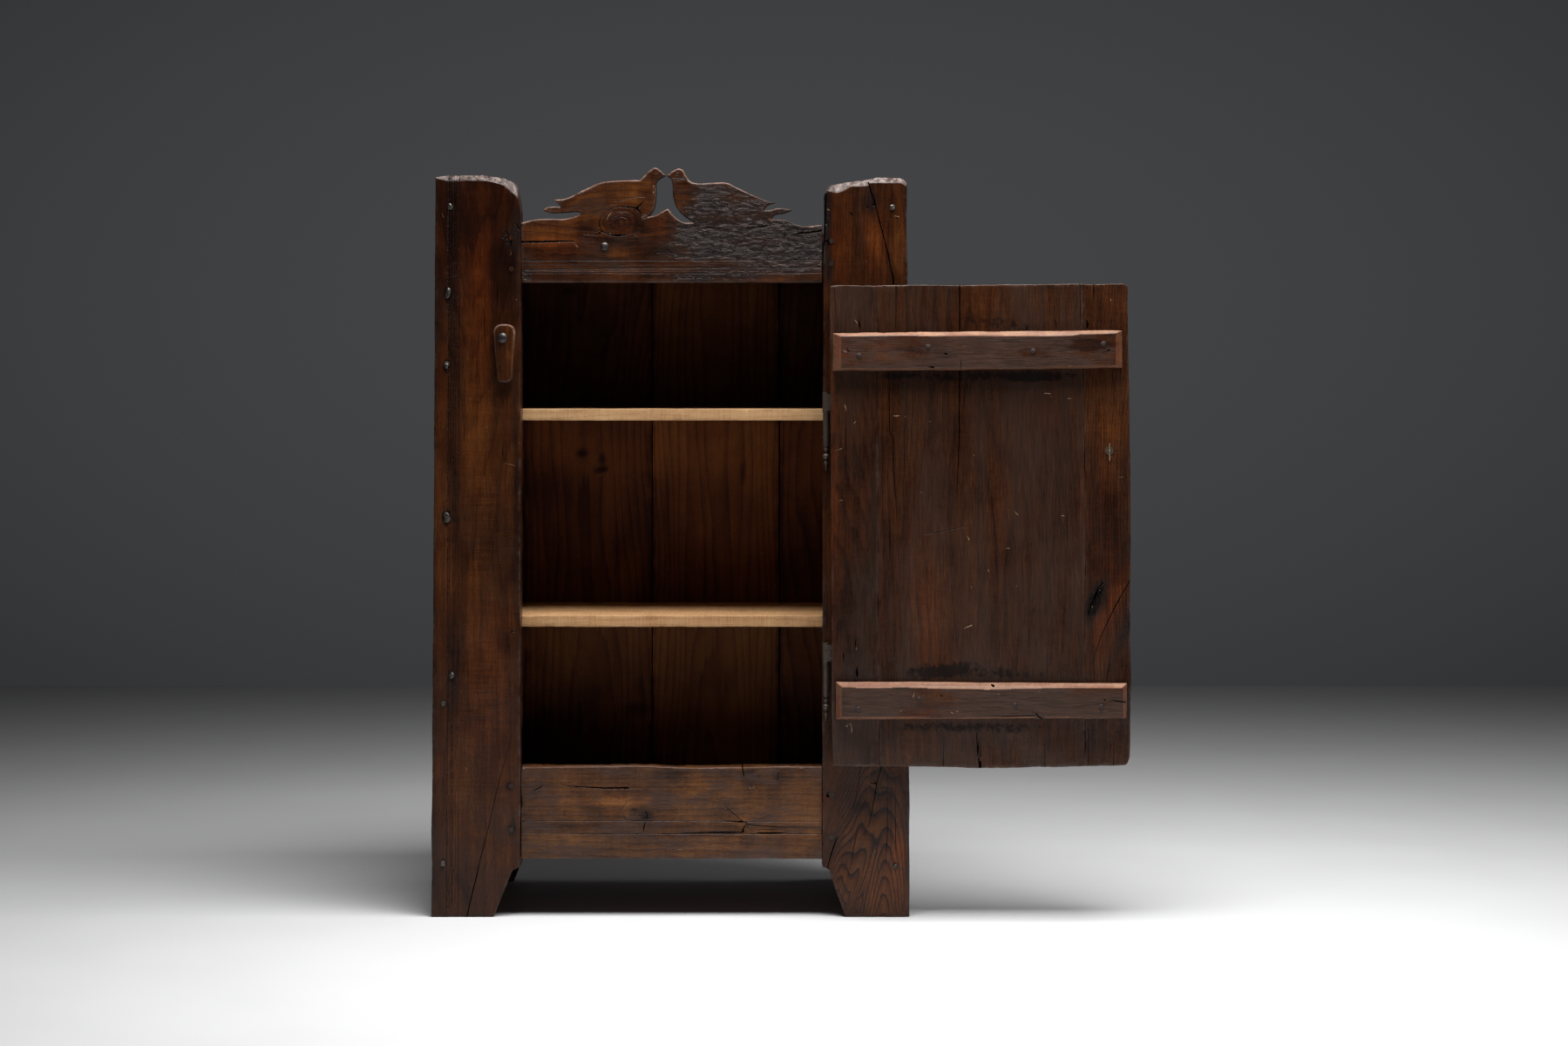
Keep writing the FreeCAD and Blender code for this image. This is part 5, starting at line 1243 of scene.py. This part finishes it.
middleBoard = {
    "seed": 131, "heart": (0.53, -0.60), "ring": 0.0044, "wander": 0.012, "tone": -0.01,
    **placed(doorFace,
        tones=[(1241.5, 566, 2.6, 44, .14), (1062, 690, 22, 90, .12), (1046, 500, 36, 50, .04),
            (1150, 560, 8, 60, .12), (1170, 400, 60, 30, .06), (1100, 735, 14, 22, -.12),
            (1080, 395, 60, 10, -.08), (1170, 850, 50, 20, .05), (1060, 850, 30, 22, .08),
            (1130, 470, 26, 60, -.03), (1200, 560, 30, 120, -.02), (1230, 660, 14, 40, .08),
            (1020, 660, 8, 80, -.08), (1222, 520, 16, 60, -.05), (1055, 352, 30, 16, .06),
            (1160, 345, 60, 16, .05)],
        reds=[(1241.5, 566, 2.6, 44, .5), (1016, 690, 10, 80, .5), (1062, 700, 22, 90, .35),
            (1150, 560, 9, 70, .4), (1062, 512, 6, 14, .5, 20), (1195, 480, 20, 30, .3)],
        cracks=[[(1101.6, 324, .8), (1101.4, 380, .7), (1101.6, 425, .7), (1101.2, 491, .65),
            (1100, 533, .5), (1098.6, 560, .25), (1098, 577, -.2)], [(1020.6, 425, .2),
            (1021.2, 495, .4), (1024.9, 505, .3), (1025.4, 540, .4), (1028.5, 573, .2),
            (1029, 600, -.2)], [(1028.6, 324, .3), (1028.3, 352, .2), (1028, 380, .1)],
            [(1021.4, 585, -.2), (1021.4, 620, .4), (1021, 644, -.2)], [(1058, 614.7, -.1),
            (1076, 611, .4), (1091, 607.6, .5), (1109.9, 605.2, -.1)], [(1083, 425, .0),
            (1082, 460, .1), (1081.6, 520, -.2)], [(1121, 840, .2), (1122, 860, .7),
            (1124.6, 882, .9)], [(1125.6, 842, -.2), (1125.4, 865, .6), (1126, 884, .8)],
            [(1083, 842, -.1), (1082.6, 884, .4)], [(1199, 845, -.2), (1199.6, 884, .4)],
            [(1210, 364, -.2), (1212, 370, .5), (1212.6, 379, .2)], [(1038, 480, -.2),
            (1038.4, 520, .15), (1037, 560, -.2)], [(1239.6, 324, .35), (1240, 360, .2),
            (1241, 381, .1)]],
        scratches=[[(1198.9, 451.4, .5), (1206.2, 451.6, .7)], [(1204.6, 455.4, .1),
            (1208, 455.4, .4)], [(1223.9, 457.5, .2), (1229.3, 457.2, .7)],
            [(1025, 477, .4), (1029, 477.2, .7), (1033, 476.8, .2)], [(1037.4, 477.6, .4),
            (1040, 477.8, .5)], [(1025.6, 496.6, .4), (1026.6, 497, .5)], [(1065, 484, .1),
            (1070, 483, .3)], [(1104, 722, .0), (1110, 719.6, .5), (1115.8, 717.3, 1.0)],
            [(1164, 586, .1), (1168.6, 591, .6)], [(1217, 592, .2), (1222, 591.6, .7)],
            [(1153.6, 629.4, .1), (1159.4, 629, .5)], [(1110, 615, .2), (1113, 620, .8)],
            [(1134, 652.6, .3), (1134.8, 656, .7)], [(1117.6, 521.6, .3), (1118.4, 523, .5)],
            [(1165, 674, .1), (1168, 671.6, .4)], [(1055, 564.6, 0), (1059, 565, .3)],
            [(1115, 672, .2), (1115.4, 674.6, .5)]],
        # the strokes at 431 to 432 and 834 to 835, right under the two battens, are painted shadow
        # that the battens cast; the others are dark marks in the wood
        stains=[(1060, 772, 34, 9, .5), (1110, 769, 50, 11, .55), (1170, 774, 40, 7, .4),
            (1070, 834, 50, 6, .5), (1150, 835, 50, 7, .5), (1110, 431, 100, 8, .6),
            (1200, 432, 40, 6, .4), (1030, 431, 16, 6, .5), (1150, 372, 60, 9, .35, -8)]),
}
freeBoard = {
    "seed": 141, "heart": (0.86, -0.26), "ring": 0.0052, "wander": 0.012,
    **placed(doorFace,
        tones=[(1270, 480, 26, 70, .12), (1280, 510, 12, 60, .06), (1272, 590, 12, 40, -.1),
            (1274, 700, 9, 60, .1, -25), (1264, 770, 8, 40, .06, -10), (1282, 350, 16, 26, .06),
            (1290, 725, 6, 40, -.14, -20), (1260, 686, 12, 26, -.14, -25),
            (1253, 858, 4, 20, -.16)],
        reds=[(1266, 640, 26, 130, .35), (1274, 700, 9, 60, .4, -25), (1280, 350, 18, 24, .3)],
        weathered=[(1258, 688, 8, 26, 1.0, -25), (1290, 728, 5, 26, .4, -20)],
        cracks=[[(1300, 661, .6), (1290, 678, .6), (1279.8, 696, .7), (1270, 716, .5),
            (1263.3, 731.5, .4), (1256, 753, .15), (1251.5, 769, -.2)], [(1269, 667, .2),
            (1264, 670.5, 1.1), (1260.5, 675, .5), (1257, 683, 1.2), (1254, 690, .5),
            (1251.5, 697, 1.0), (1248, 708, .2)], [(1267, 673, .1), (1262.5, 680, .5),
            (1258, 688, .2), (1256, 696, -.1)], [(1255.4, 324, .5), (1255.8, 332, .6),
            (1255, 345, .1), (1255.6, 352, -.2)], [(1247, 367, .3), (1248.5, 372, 1.5),
            (1248, 377, .6)], [(1267, 440, -.2), (1267.4, 500, .05), (1266, 560, -.2)],
            [(1257.6, 430, .0), (1258, 500, .1), (1257, 570, -.2)], [(1277.8, 730, -.2),
            (1272, 770, .35), (1270, 784, .2)], [(1279.6, 840, -.1), (1278, 882, .4)],
            [(1249, 836, .2), (1249.4, 878, .2)], [(1273.9, 514.6, .9), (1274, 518, .9)],
            [(1299, 697, .6), (1296.5, 702, .5), (1297, 712, -.2)]],
        scratches=[[(1273.6, 509.5, .3), (1273.8, 513.4, .5)], [(1274.2, 521.4, .5),
            (1274.4, 524, .7), (1274, 528.6, .3)], [(1263, 676, .4), (1262, 678.4, .6)],
            [(1254.6, 695, .3), (1253, 697.6, .7)], [(1271, 514, .1), (1269.8, 515, .5)],
            [(1274.8, 342, .2), (1275.2, 345.6, .8)], [(1293.2, 471.6, .4), (1294, 473, .7)],
            [(1283, 548, .1), (1290, 547, .3)], [(1242.6, 500, .2), (1242.2, 560, .5),
            (1243, 604, .2)]],
        stains=[(1264, 372, 12, 8, .3), (1256, 690, 9, 26, .5, -25)]),
}


doorBlock = {"left": 0.2747, "right": 0.788, "bottom": 0.2625, "height": 0.8265, "lowest": 0.2612}


def doorEdges(points, nominal, extra):
    # the three boards share one outline: heights slide to the top and bottom lines, widths to the
    # two edges
    x, y, z = points.T
    left, right = doorBlock["left"], doorBlock["right"]
    share = (z - doorBlock["bottom"]) / doorBlock["height"]
    hinge, free = through(z, doorOutline["hingeEdge"]), through(z, doorOutline["freeEdge"])
    xIn = hinge + (x - left) / (right - left) * (free - hinge)
    bottom = np.maximum(through(xIn, doorOutline["bottomLine"]), doorBlock["lowest"])
    top = through(xIn, doorOutline["topLine"])
    return np.stack([xIn, y, bottom + share * (top - bottom)], 1)


doorBoards = {"axes": (2, 0, 1), "step": (0.003, 0.006, 0.003), "edge": 0.0018, "hew": 0.0008,
              "wear": 0.4, "chip": 0.0008, "chipLength": 0.009, "edgeGrime": 0.12,
              "shownTo": (-0.241, -0.232)}
doorMeet = 0.0009  # each board is this much wider where it meets the next one
for name, look, left, right, wood in (("hinge_side", hingeBoard, 0, doorMeet, doorWood),
                                      ("middle", middleBoard, doorMeet, doorMeet, doorWood),
                                      ("free_side", freeBoard, doorMeet, 0, warmDoorWood)):
    low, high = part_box("door_board_" + name)
    meeting = {"low": {0: low[0] - left}, "high": {0: high[0] + right}}
    board("door_board_" + name, {**doorBoards, **look, **meeting}, body="door", slot="door_wood",
          material=wood, bend=doorEdges)


# Battens: pale raw chamfers all round a dull face; the top chamfer is paler still, partly a painted
# highlight

battens = {
    "upper": {
        "seed": 151, "heart": (0.972, -0.45),
        **placed(battenFace,
            topLine=[(950, 382.2), (1000, 381.2), (1100, 380.4), (1200, 379.6), (1289, 379)],
            bottomLine=[(950, 425.9), (1040, 425.2), (1100, 424.8), (1150, 424), (1215, 423.2),
                (1289, 422.2)],
            topCut=[(950, 385.6), (975, 385.8), (1046, 385.2), (1060, 385.6), (1110, 385.4),
                (1170, 385.8), (1199, 386), (1232, 385), (1240, 383.4), (1289, 382.4)],
            bottomCut=[(950, 422.6), (1070, 421.6), (1150, 421.4), (1200, 420.8), (1230, 419.6),
                (1289, 419.4)],
            leftCut=[(964.8, 380), (965.2, 426)],
            rightCut=[(1280.4, 380), (1280, 422)],
            cracks=[[(1083.6, 405.4, .8), (1087, 406.4, 1.6)], [(1271, 402.6, 1.0),
                (1274, 402, 1.4)], [(1262, 404, -.2), (1268, 404.4, .5), (1271, 403, .2)],
                [(972, 399.6, .2), (974, 403, .9), (978, 403.6, .4)], [(1066, 421, .6),
                (1072, 421.4, 1.2)], [(1100, 409, -.2), (1103, 415, .3), (1103, 424, .3)],
                [(1208, 388.6, -.2), (1240, 388, .35), (1262, 387.4, -.2)], [(1120, 389.4, -.2),
                (1160, 390.4, .35), (1190, 390, -.2)]],
            scratches=[[(974, 402.6, .1), (977, 403.2, .6)], [(968, 402, .3), (971, 404, .8)],
                [(1227, 419, .2), (1229, 420, .7)]],
            tones=[(1085, 406, 12, 7, -.3), (1240, 400, 40, 16, -.12), (1010, 400, 30, 14, .04),
                (1120, 402, 40, 10, .08), (1105, 412, 30, 6, -.1), (1180, 400, 20, 10, .03)],
            reds=[(1050, 395, 60, 12, .4), (970, 400, 8, 24, .6), (1284, 400, 6, 26, .6)]),
    },
    "lower": {
        "seed": 161, "heart": (0.37, -0.42),
        **placed(battenFace,
            topLine=[(955, 783.2), (1080, 783), (1130, 783.8), (1200, 784.2), (1296, 784.6)],
            bottomLine=[(955, 826.4), (1074, 826), (1200, 825.4), (1296, 824.6)],
            topCut=[(955, 788), (990, 789.6), (1040, 789), (1079, 790.6), (1110, 790.6),
                (1133, 791.6), (1170, 790.4), (1223, 789.6), (1270, 789.6), (1296, 789.4)],
            bottomCut=[(955, 822.8), (1060, 822.6), (1072, 824), (1120, 823), (1187, 821.8),
                (1190, 826.5), (1199, 826.5), (1200, 822), (1240, 823), (1250, 826.5),
                (1296, 826.5)],
            leftCut=[(966.6, 783), (966, 826)],
            rightCut=[(1288, 783), (1289, 826)],
            cracks=[[(1275, 803.4, .2), (1283, 804.6, .8), (1292, 806, 1.0)],
                [(1138, 786.2, .8), (1141, 787.6, 2.0)], [(1079, 798, .4), (1082, 798.4, .9)],
                [(981, 811, .2), (984, 811.4, .8)], [(1191, 815, -.2), (1189.6, 819, .6),
                (1193, 823, .9), (1199, 826, .6)], [(1125, 822, -.2), (1155, 822, .5),
                (1188, 821, .7)], [(1267, 802, .4), (1268.6, 803.4, 1.2)]],
            scratches=[[(1050, 794, .1), (1048, 800, .6)], [(1145, 796, .3), (1147, 796.6, .7)],
                [(1033, 817, .2), (1035, 815.6, .6)], [(1091, 817, .2), (1094, 818.6, .8)],
                [(1097, 817, .2), (1100, 816, .7)], [(1192, 794, .1), (1194, 793, .4)]],
            tones=[(1150, 806, 120, 12, -.06), (1000, 806, 40, 12, -.02), (1080, 818, 60, 5, .05),
                (1210, 812, 30, 10, -.06)],
            reds=[(962, 806, 6, 22, .6), (1291, 806, 4, 22, .5), (1060, 818, 40, 6, .15)]),
    },
}


def chamfered(s, low, high):
    # the face falls back from each cut line to the batten's edge, by the batten's chamfer depth
    def bend(points, nominal, extra):
        x, y, z = points.T
        share = (z - low[2]) / (high[2] - low[2])
        top, bottom = through(x, s["topLine"]), through(x, s["bottomLine"])
        z = bottom + share * (top - bottom)
        topCut, bottomCut = through(x, s["topCut"]), through(x, s["bottomCut"])
        up = np.clip((z - topCut) / np.maximum(top - topCut, s["leastCut"]), 0, 1)
        down = np.clip((bottomCut - z) / np.maximum(bottomCut - bottom, s["leastCut"]), 0, 1)
        down = down * (bottomCut > bottom)
        leftCut, rightCut = through(z, s["leftCut"]), through(z, s["rightCut"])
        left = np.clip((leftCut - x) / (leftCut - low[0]), 0, 1)
        right = np.clip((x - rightCut) / (high[0] - rightCut), 0, 1)
        fall = np.maximum.reduce([up, down, left, right])
        y = high[1] - (high[1] - y) * (1 - fall * s["chamfer"] / (high[1] - low[1]))
        face = nominal[:, 1] < low[1] + s["faceDepth"]
        topSide = (up >= np.maximum(left, right)) & (up > s["rawFrom"])
        raw = fall > s["rawFrom"]
        # the top chamfer takes more of the lighter worn colour than the others: raw wood, and
        # partly a painted highlight from above
        extra["wear"] = np.where(topSide, s["topWearAndHighlight"], np.where(raw, s["otherWear"], 0.0)) * face
        extra["red"] = np.where(~topSide & raw, s["otherRed"], 0.0)
        extra["tone"] = np.where(~topSide & raw, s["otherTone"], 0.0)
        return np.stack([x, y, z], 1)
    return bend


battenBoards = {"axes": (0, 2, 1), "step": (0.002, 0.004, 0.0013), "edge": 0.0012, "hew": 0.0006,
                "ring": 0.006, "wear": 0.15, "chamfer": 0.0105, "topWearAndHighlight": 0.95,
                "otherWear": 0.3, "otherRed": 0.7, "otherTone": 0.18, "leastCut": 0.0008,
                "faceDepth": 0.004, "rawFrom": 0.02}
for name, look in battens.items():
    node = "door_batten_" + name
    low, high = (np.array(corner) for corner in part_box(node))
    settings = {**battenBoards, **look}
    board(node, settings, body="door", slot="batten_wood", material=battenWood,
          bend=chamfered(settings, low, high))
print("door made")


# Turn button: a tongue of wood; each ring of its skin is the round top and the narrower round end,
# drawn in by inset and joined by their straight sides

button = {"top": (-0.2856, 1.0018), "topRadius": 0.0186, "end": (-0.2853, 0.9335),
          "endRadius": 0.0134, "squareness": 0.72, "round": 0.0035, "around": 120,
          "seed": 171, "heart": (-0.4, -0.3), "wear": 0.0, "edgeGrime": 0.05, "tone": -0.05,
          "wearAndHighlightFrom": (-0.278, 0.985), "wearAndHighlightOver": (0.01, 0.035), "wearAndHighlightRight": 0.7,
          "rimWearAndHighlight": 0.55, "rimFrom": 0.0012, "rimReach": 0.0014, "sides": (0.0, 0.004, 0.008),
          "roundSteps": 6, "faceSteps": 6, "faceShare": 0.97, "sideEdge": 0.001,
          "beyondGrime": 0.02}


def tongue(s, inset, angle):
    # a superellipse round each end: cos and sin to the power squareness, the top's for angles
    # that point up
    c, d = np.cos(angle), np.sin(angle)
    up = d > 0
    radius = np.where(up, s["topRadius"], s["endRadius"]) - inset
    power = s["squareness"]
    x = np.where(up, s["top"][0], s["end"][0]) + radius * np.sign(c) * np.abs(c) ** power
    z = np.where(up, s["top"][1], s["end"][1]) + radius * np.sign(d) * np.abs(d) ** power
    return x, z


def turnButton(s):
    low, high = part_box("turn_button")
    angle = np.linspace(0, 2 * np.pi, s["around"] + 1)[:-1]
    angle = angle + 0.5 * (angle[1] - angle[0])
    # from back to front: the sides, the rounded edge, and the flat face towards its middle
    turn = np.linspace(0, np.pi / 2, s["roundSteps"])
    sides, rounded = np.array(s["sides"]), s["round"] * (1 - np.cos(turn))
    face = np.linspace(s["round"], s["endRadius"] * s["faceShare"], s["faceSteps"] + 1)[1:]
    inset = np.concatenate([sides * 0, rounded, face])
    depth = np.concatenate([high[1] - sides, low[1] + s["round"] * (1 - np.sin(turn)),
                            np.full(len(face), low[1])])
    rows = []
    for ring, y in zip(inset, depth):
        x, z = tongue(s, ring, angle)
        rows.append(np.stack([x, np.full(len(x), y), z], 1))
    points = np.concatenate(rows)
    count = len(angle)
    strip = np.arange(len(points)).reshape(len(rows), count)
    faces = quads(np.concatenate([strip, strip[:, :1]], 1))
    # the front and back caps: points facing each other across the tongue are joined in pairs
    half = count // 2
    last = strip[-1]
    across = last[::-1]
    capFront = np.stack([last[:half - 1], last[1:half], across[1:half], across[:half - 1]], 1)
    first = strip[0]
    across = first[::-1]
    capBack = np.stack([first[:half - 1], across[:half - 1], across[1:half], first[1:half]], 1)
    faces = np.concatenate([faces[:, ::-1], capFront, capBack])
    toEdge = np.repeat(np.concatenate([[s["sideEdge"]] * len(sides), rounded, face]), count)
    # its rim is worn, and lighter with a painted highlight, at the top and on the right
    wearAndHighlightSide = (np.clip((points[:, 2] - s["wearAndHighlightFrom"][1]) / s["wearAndHighlightOver"][1], 0, 1)
               + np.clip((points[:, 0] - s["wearAndHighlightFrom"][0]) / s["wearAndHighlightOver"][0], 0, 1)
               * s["wearAndHighlightRight"])
    rim = np.exp(-((toEdge - s["rimFrom"]) / s["rimReach"]) ** 2)
    worn = {"wear": s["rimWearAndHighlight"] * rim * np.clip(wearAndHighlightSide, 0.1, 1)}
    fields = finishFields(points, toEdge + s["beyondGrime"], s, worn)
    writeMesh("turn_button_dressed", points, faces, "turn_button", ["turn_button"], "leg_wood",
              crestWood, *fields)


turnButton(button)
print("button made")


# Hammered heads over the leg nails: a small rounded block each, dented by ripples, half sunk in
# the leg

hammered = {"face": legFace, "round": 0.9, "dent": 0.17, "dentLength": 1.5, "heads": (
    (516.8, 237, 4.7, 4.9, 3.0, 0), (514.5, 337, 4.4, 8.2, 3.6, 12),
    (512.6, 420, 3.6, 5.2, 2.6, 0), (513.3, 594, 5.4, 8.4, 3.8, -28),
    (518.9, 775, 3.9, 5.8, 3.0, 0), (508.8, 807.4, 3.4, 3.6, 2.4, 0),
    (508.8, 991, 4.2, 5.0, 3.0, 0),
    (1024.5, 238.5, 4.8, 4.8, 2.6, 0), (1028, 993.6, 3.6, 3.9, 2.0, 0))}


def hammeredHeads(s):
    # heads: a place in the photograph, half width, half height and stand in millimetres, turn in
    # degrees
    unit, normals, faces = blockSkin(np.full(3, -1.0), np.ones(3), (0.2, 0.2, 0.2), s["round"])
    allPoints, allFaces = [], []
    for k, (px, py, halfX, halfZ, stand, turn) in enumerate(s["heads"]):
        dents = (ripple(unit, s["dentLength"], 300 + k, 7)
                 + 0.5 * ripple(unit, s["dentLength"] * 0.45, 340 + k, 7))
        dented = (unit + normals * (s["dent"] * dents)[:, None]).T
        x, y, z = dented * np.array([[halfX], [stand], [halfZ]]) / 1000
        c, d = math.cos(math.radians(turn)), math.sin(math.radians(turn))
        placeX, placeZ = seen(px, py, s["face"])
        allFaces.append(faces + k * len(unit))
        turned = [placeX + x * c + z * d, s["face"] + y, placeZ + z * c - x * d]
        allPoints.append(np.stack(turned, 1))
    writeMesh("leg_nail_heads", np.concatenate(allPoints), np.concatenate(allFaces), "carcass",
              None, "iron", hammeredIron)


hammeredHeads(hammered)


# Every CAD node that stays takes its finish

stays = {
    "leg_wood": pegWood, "board_wood": carriedBoard, "door_wood": pegWood,
    "batten_wood": carriedBoard, "pale_pine": shelfPine, "peg_wood": pegWood, "iron": oldIron,
}
rusty = ("batten_nails", "front_leg_nails", "back_leg_nails", "back_board_nails", "cleat_nails",
         "floor_board_nails")
for name, piece in nodes.items():
    for index, held in enumerate(piece.data.materials):
        slot = held.name.split(".")[0]
        hinge = name.startswith("hinge") or name == "pull_washer"
        special = paleIron if name == "pull_pin" else hingeIron if hinge else None
        piece.data.materials[index] = special or (rustyIron if name in rusty else stays[slot])
print("CAD nodes dressed")


# Floor, light and camera

# each light: its place, the point that it shines at, its two sizes, its power and its spread
stageSettings = {
    "floorFront": -9.0, "floorBack": 3.7, "floorHalf": 14.0,
    "floorColour": (0.8, 0.8, 0.8), "floorShade": (0.76, 0.76, 0.77), "cloudScale": 1.6,
    "floorRough": 0.45, "floorRoughVary": 0.15, "roughScale": 5.0,
    "lights": {
        "overhead_soft_box": ((0.5, -0.85, 2.9), (0.5, -0.8, 0.0), (2.0, 1.3), 78.5, 125.0),
        "right_back_lamp": ((2.4, 0.6, 2.4), (1.5, 0.2, 0.0), (1.6, 1.6), 4.0, 120.0)},
    "skyColour": (0.0565, 0.0575, 0.0605), "skyLeast": 0.4, "skyWidth": 6.5, "skyRise": 0.02,
    "skyHeight": 28.0,
    "lens": 73.37, "sensor": 36.0, "shiftY": -0.104}


def floorSheet(s):
    # a level grid at height 0
    x, y = np.meshgrid(np.linspace(-s["floorHalf"], s["floorHalf"], 9),
                       np.linspace(s["floorFront"], s["floorBack"], 7), indexing="ij")
    points = np.stack([x.ravel(), y.ravel(), np.zeros(x.size)], 1)
    mesh = bpy.data.meshes.new("floor")
    mesh.from_pydata(points.tolist(), [], quads(np.arange(x.size).reshape(x.shape)).tolist())
    floor = bpy.data.objects.new("floor", mesh)
    bpy.context.scene.collection.objects.link(floor)
    material, w = newMaterial("pale_floor")
    place = w.node("ShaderNodeTexCoord", out="Object")
    cloud = w.noise(place, s["cloudScale"], 4.0, 0.55)
    colour = w.tint(cloud, s["floorShade"], s["floorColour"])
    rough = w.noise(place, s["roughScale"], 3.0, 0.5) * s["floorRoughVary"] + s["floorRough"]
    finishMaterial(w, colour, rough)
    mesh.materials.append(material)


def softLight(name, place, aim, size, power, spread):
    data = bpy.data.lights.new(name, "AREA")
    data.spread = math.radians(spread)
    data.shape, data.size, data.size_y, data.energy = "RECTANGLE", size[0], size[1], power
    lamp = bpy.data.objects.new(name, data)
    lamp.location = place
    lamp.rotation_euler = (Vector(aim) - Vector(place)).to_track_quat("-Z", "Y").to_euler()
    bpy.context.scene.collection.objects.link(lamp)


floorSheet(stageSettings)
for name, light in stageSettings["lights"].items():
    softLight(name, *light)

world = bpy.data.worlds.new("grey_studio")
world.use_nodes = True
world.node_tree.nodes.clear()
sky = Wire(world.node_tree)
turnX, _, rise = sky.node("ShaderNodeTexCoord", out="Generated").split()
above = rise - stageSettings["skyRise"]
# brightest behind the doves
bright = (1.0 - turnX * turnX * stageSettings["skyWidth"]
          - above * above * stageSettings["skyHeight"])
least = stageSettings["skyLeast"]
grey = sky.tint(bright.held() * (1.0 - least) + least, (0.0, 0.0, 0.0), stageSettings["skyColour"])
backdrop = sky.node("ShaderNodeBackground", None, {"Color": grey, "Strength": 1.0})
sky.tree.links.new(backdrop.socket, sky.tree.nodes.new("ShaderNodeOutputWorld").inputs[0])
bpy.context.scene.world = world

lens = bpy.data.cameras.new("camera")
lens.lens, lens.sensor_width = stageSettings["lens"], stageSettings["sensor"]
lens.sensor_fit, lens.shift_y = "HORIZONTAL", stageSettings["shiftY"]
camera = bpy.data.objects.new("camera", lens)
camera.location = eye
camera.rotation_euler = (math.pi / 2, 0, 0)
bpy.context.scene.collection.objects.link(camera)
bpy.context.scene.camera = camera
bpy.context.scene.view_settings.view_transform = "Standard"
print("stage made")

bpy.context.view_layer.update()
triangles = sum(sum(len(p.vertices) - 2 for p in piece.data.polygons) for piece in made)
print("pieces made:", len(made), "triangles:", triangles)
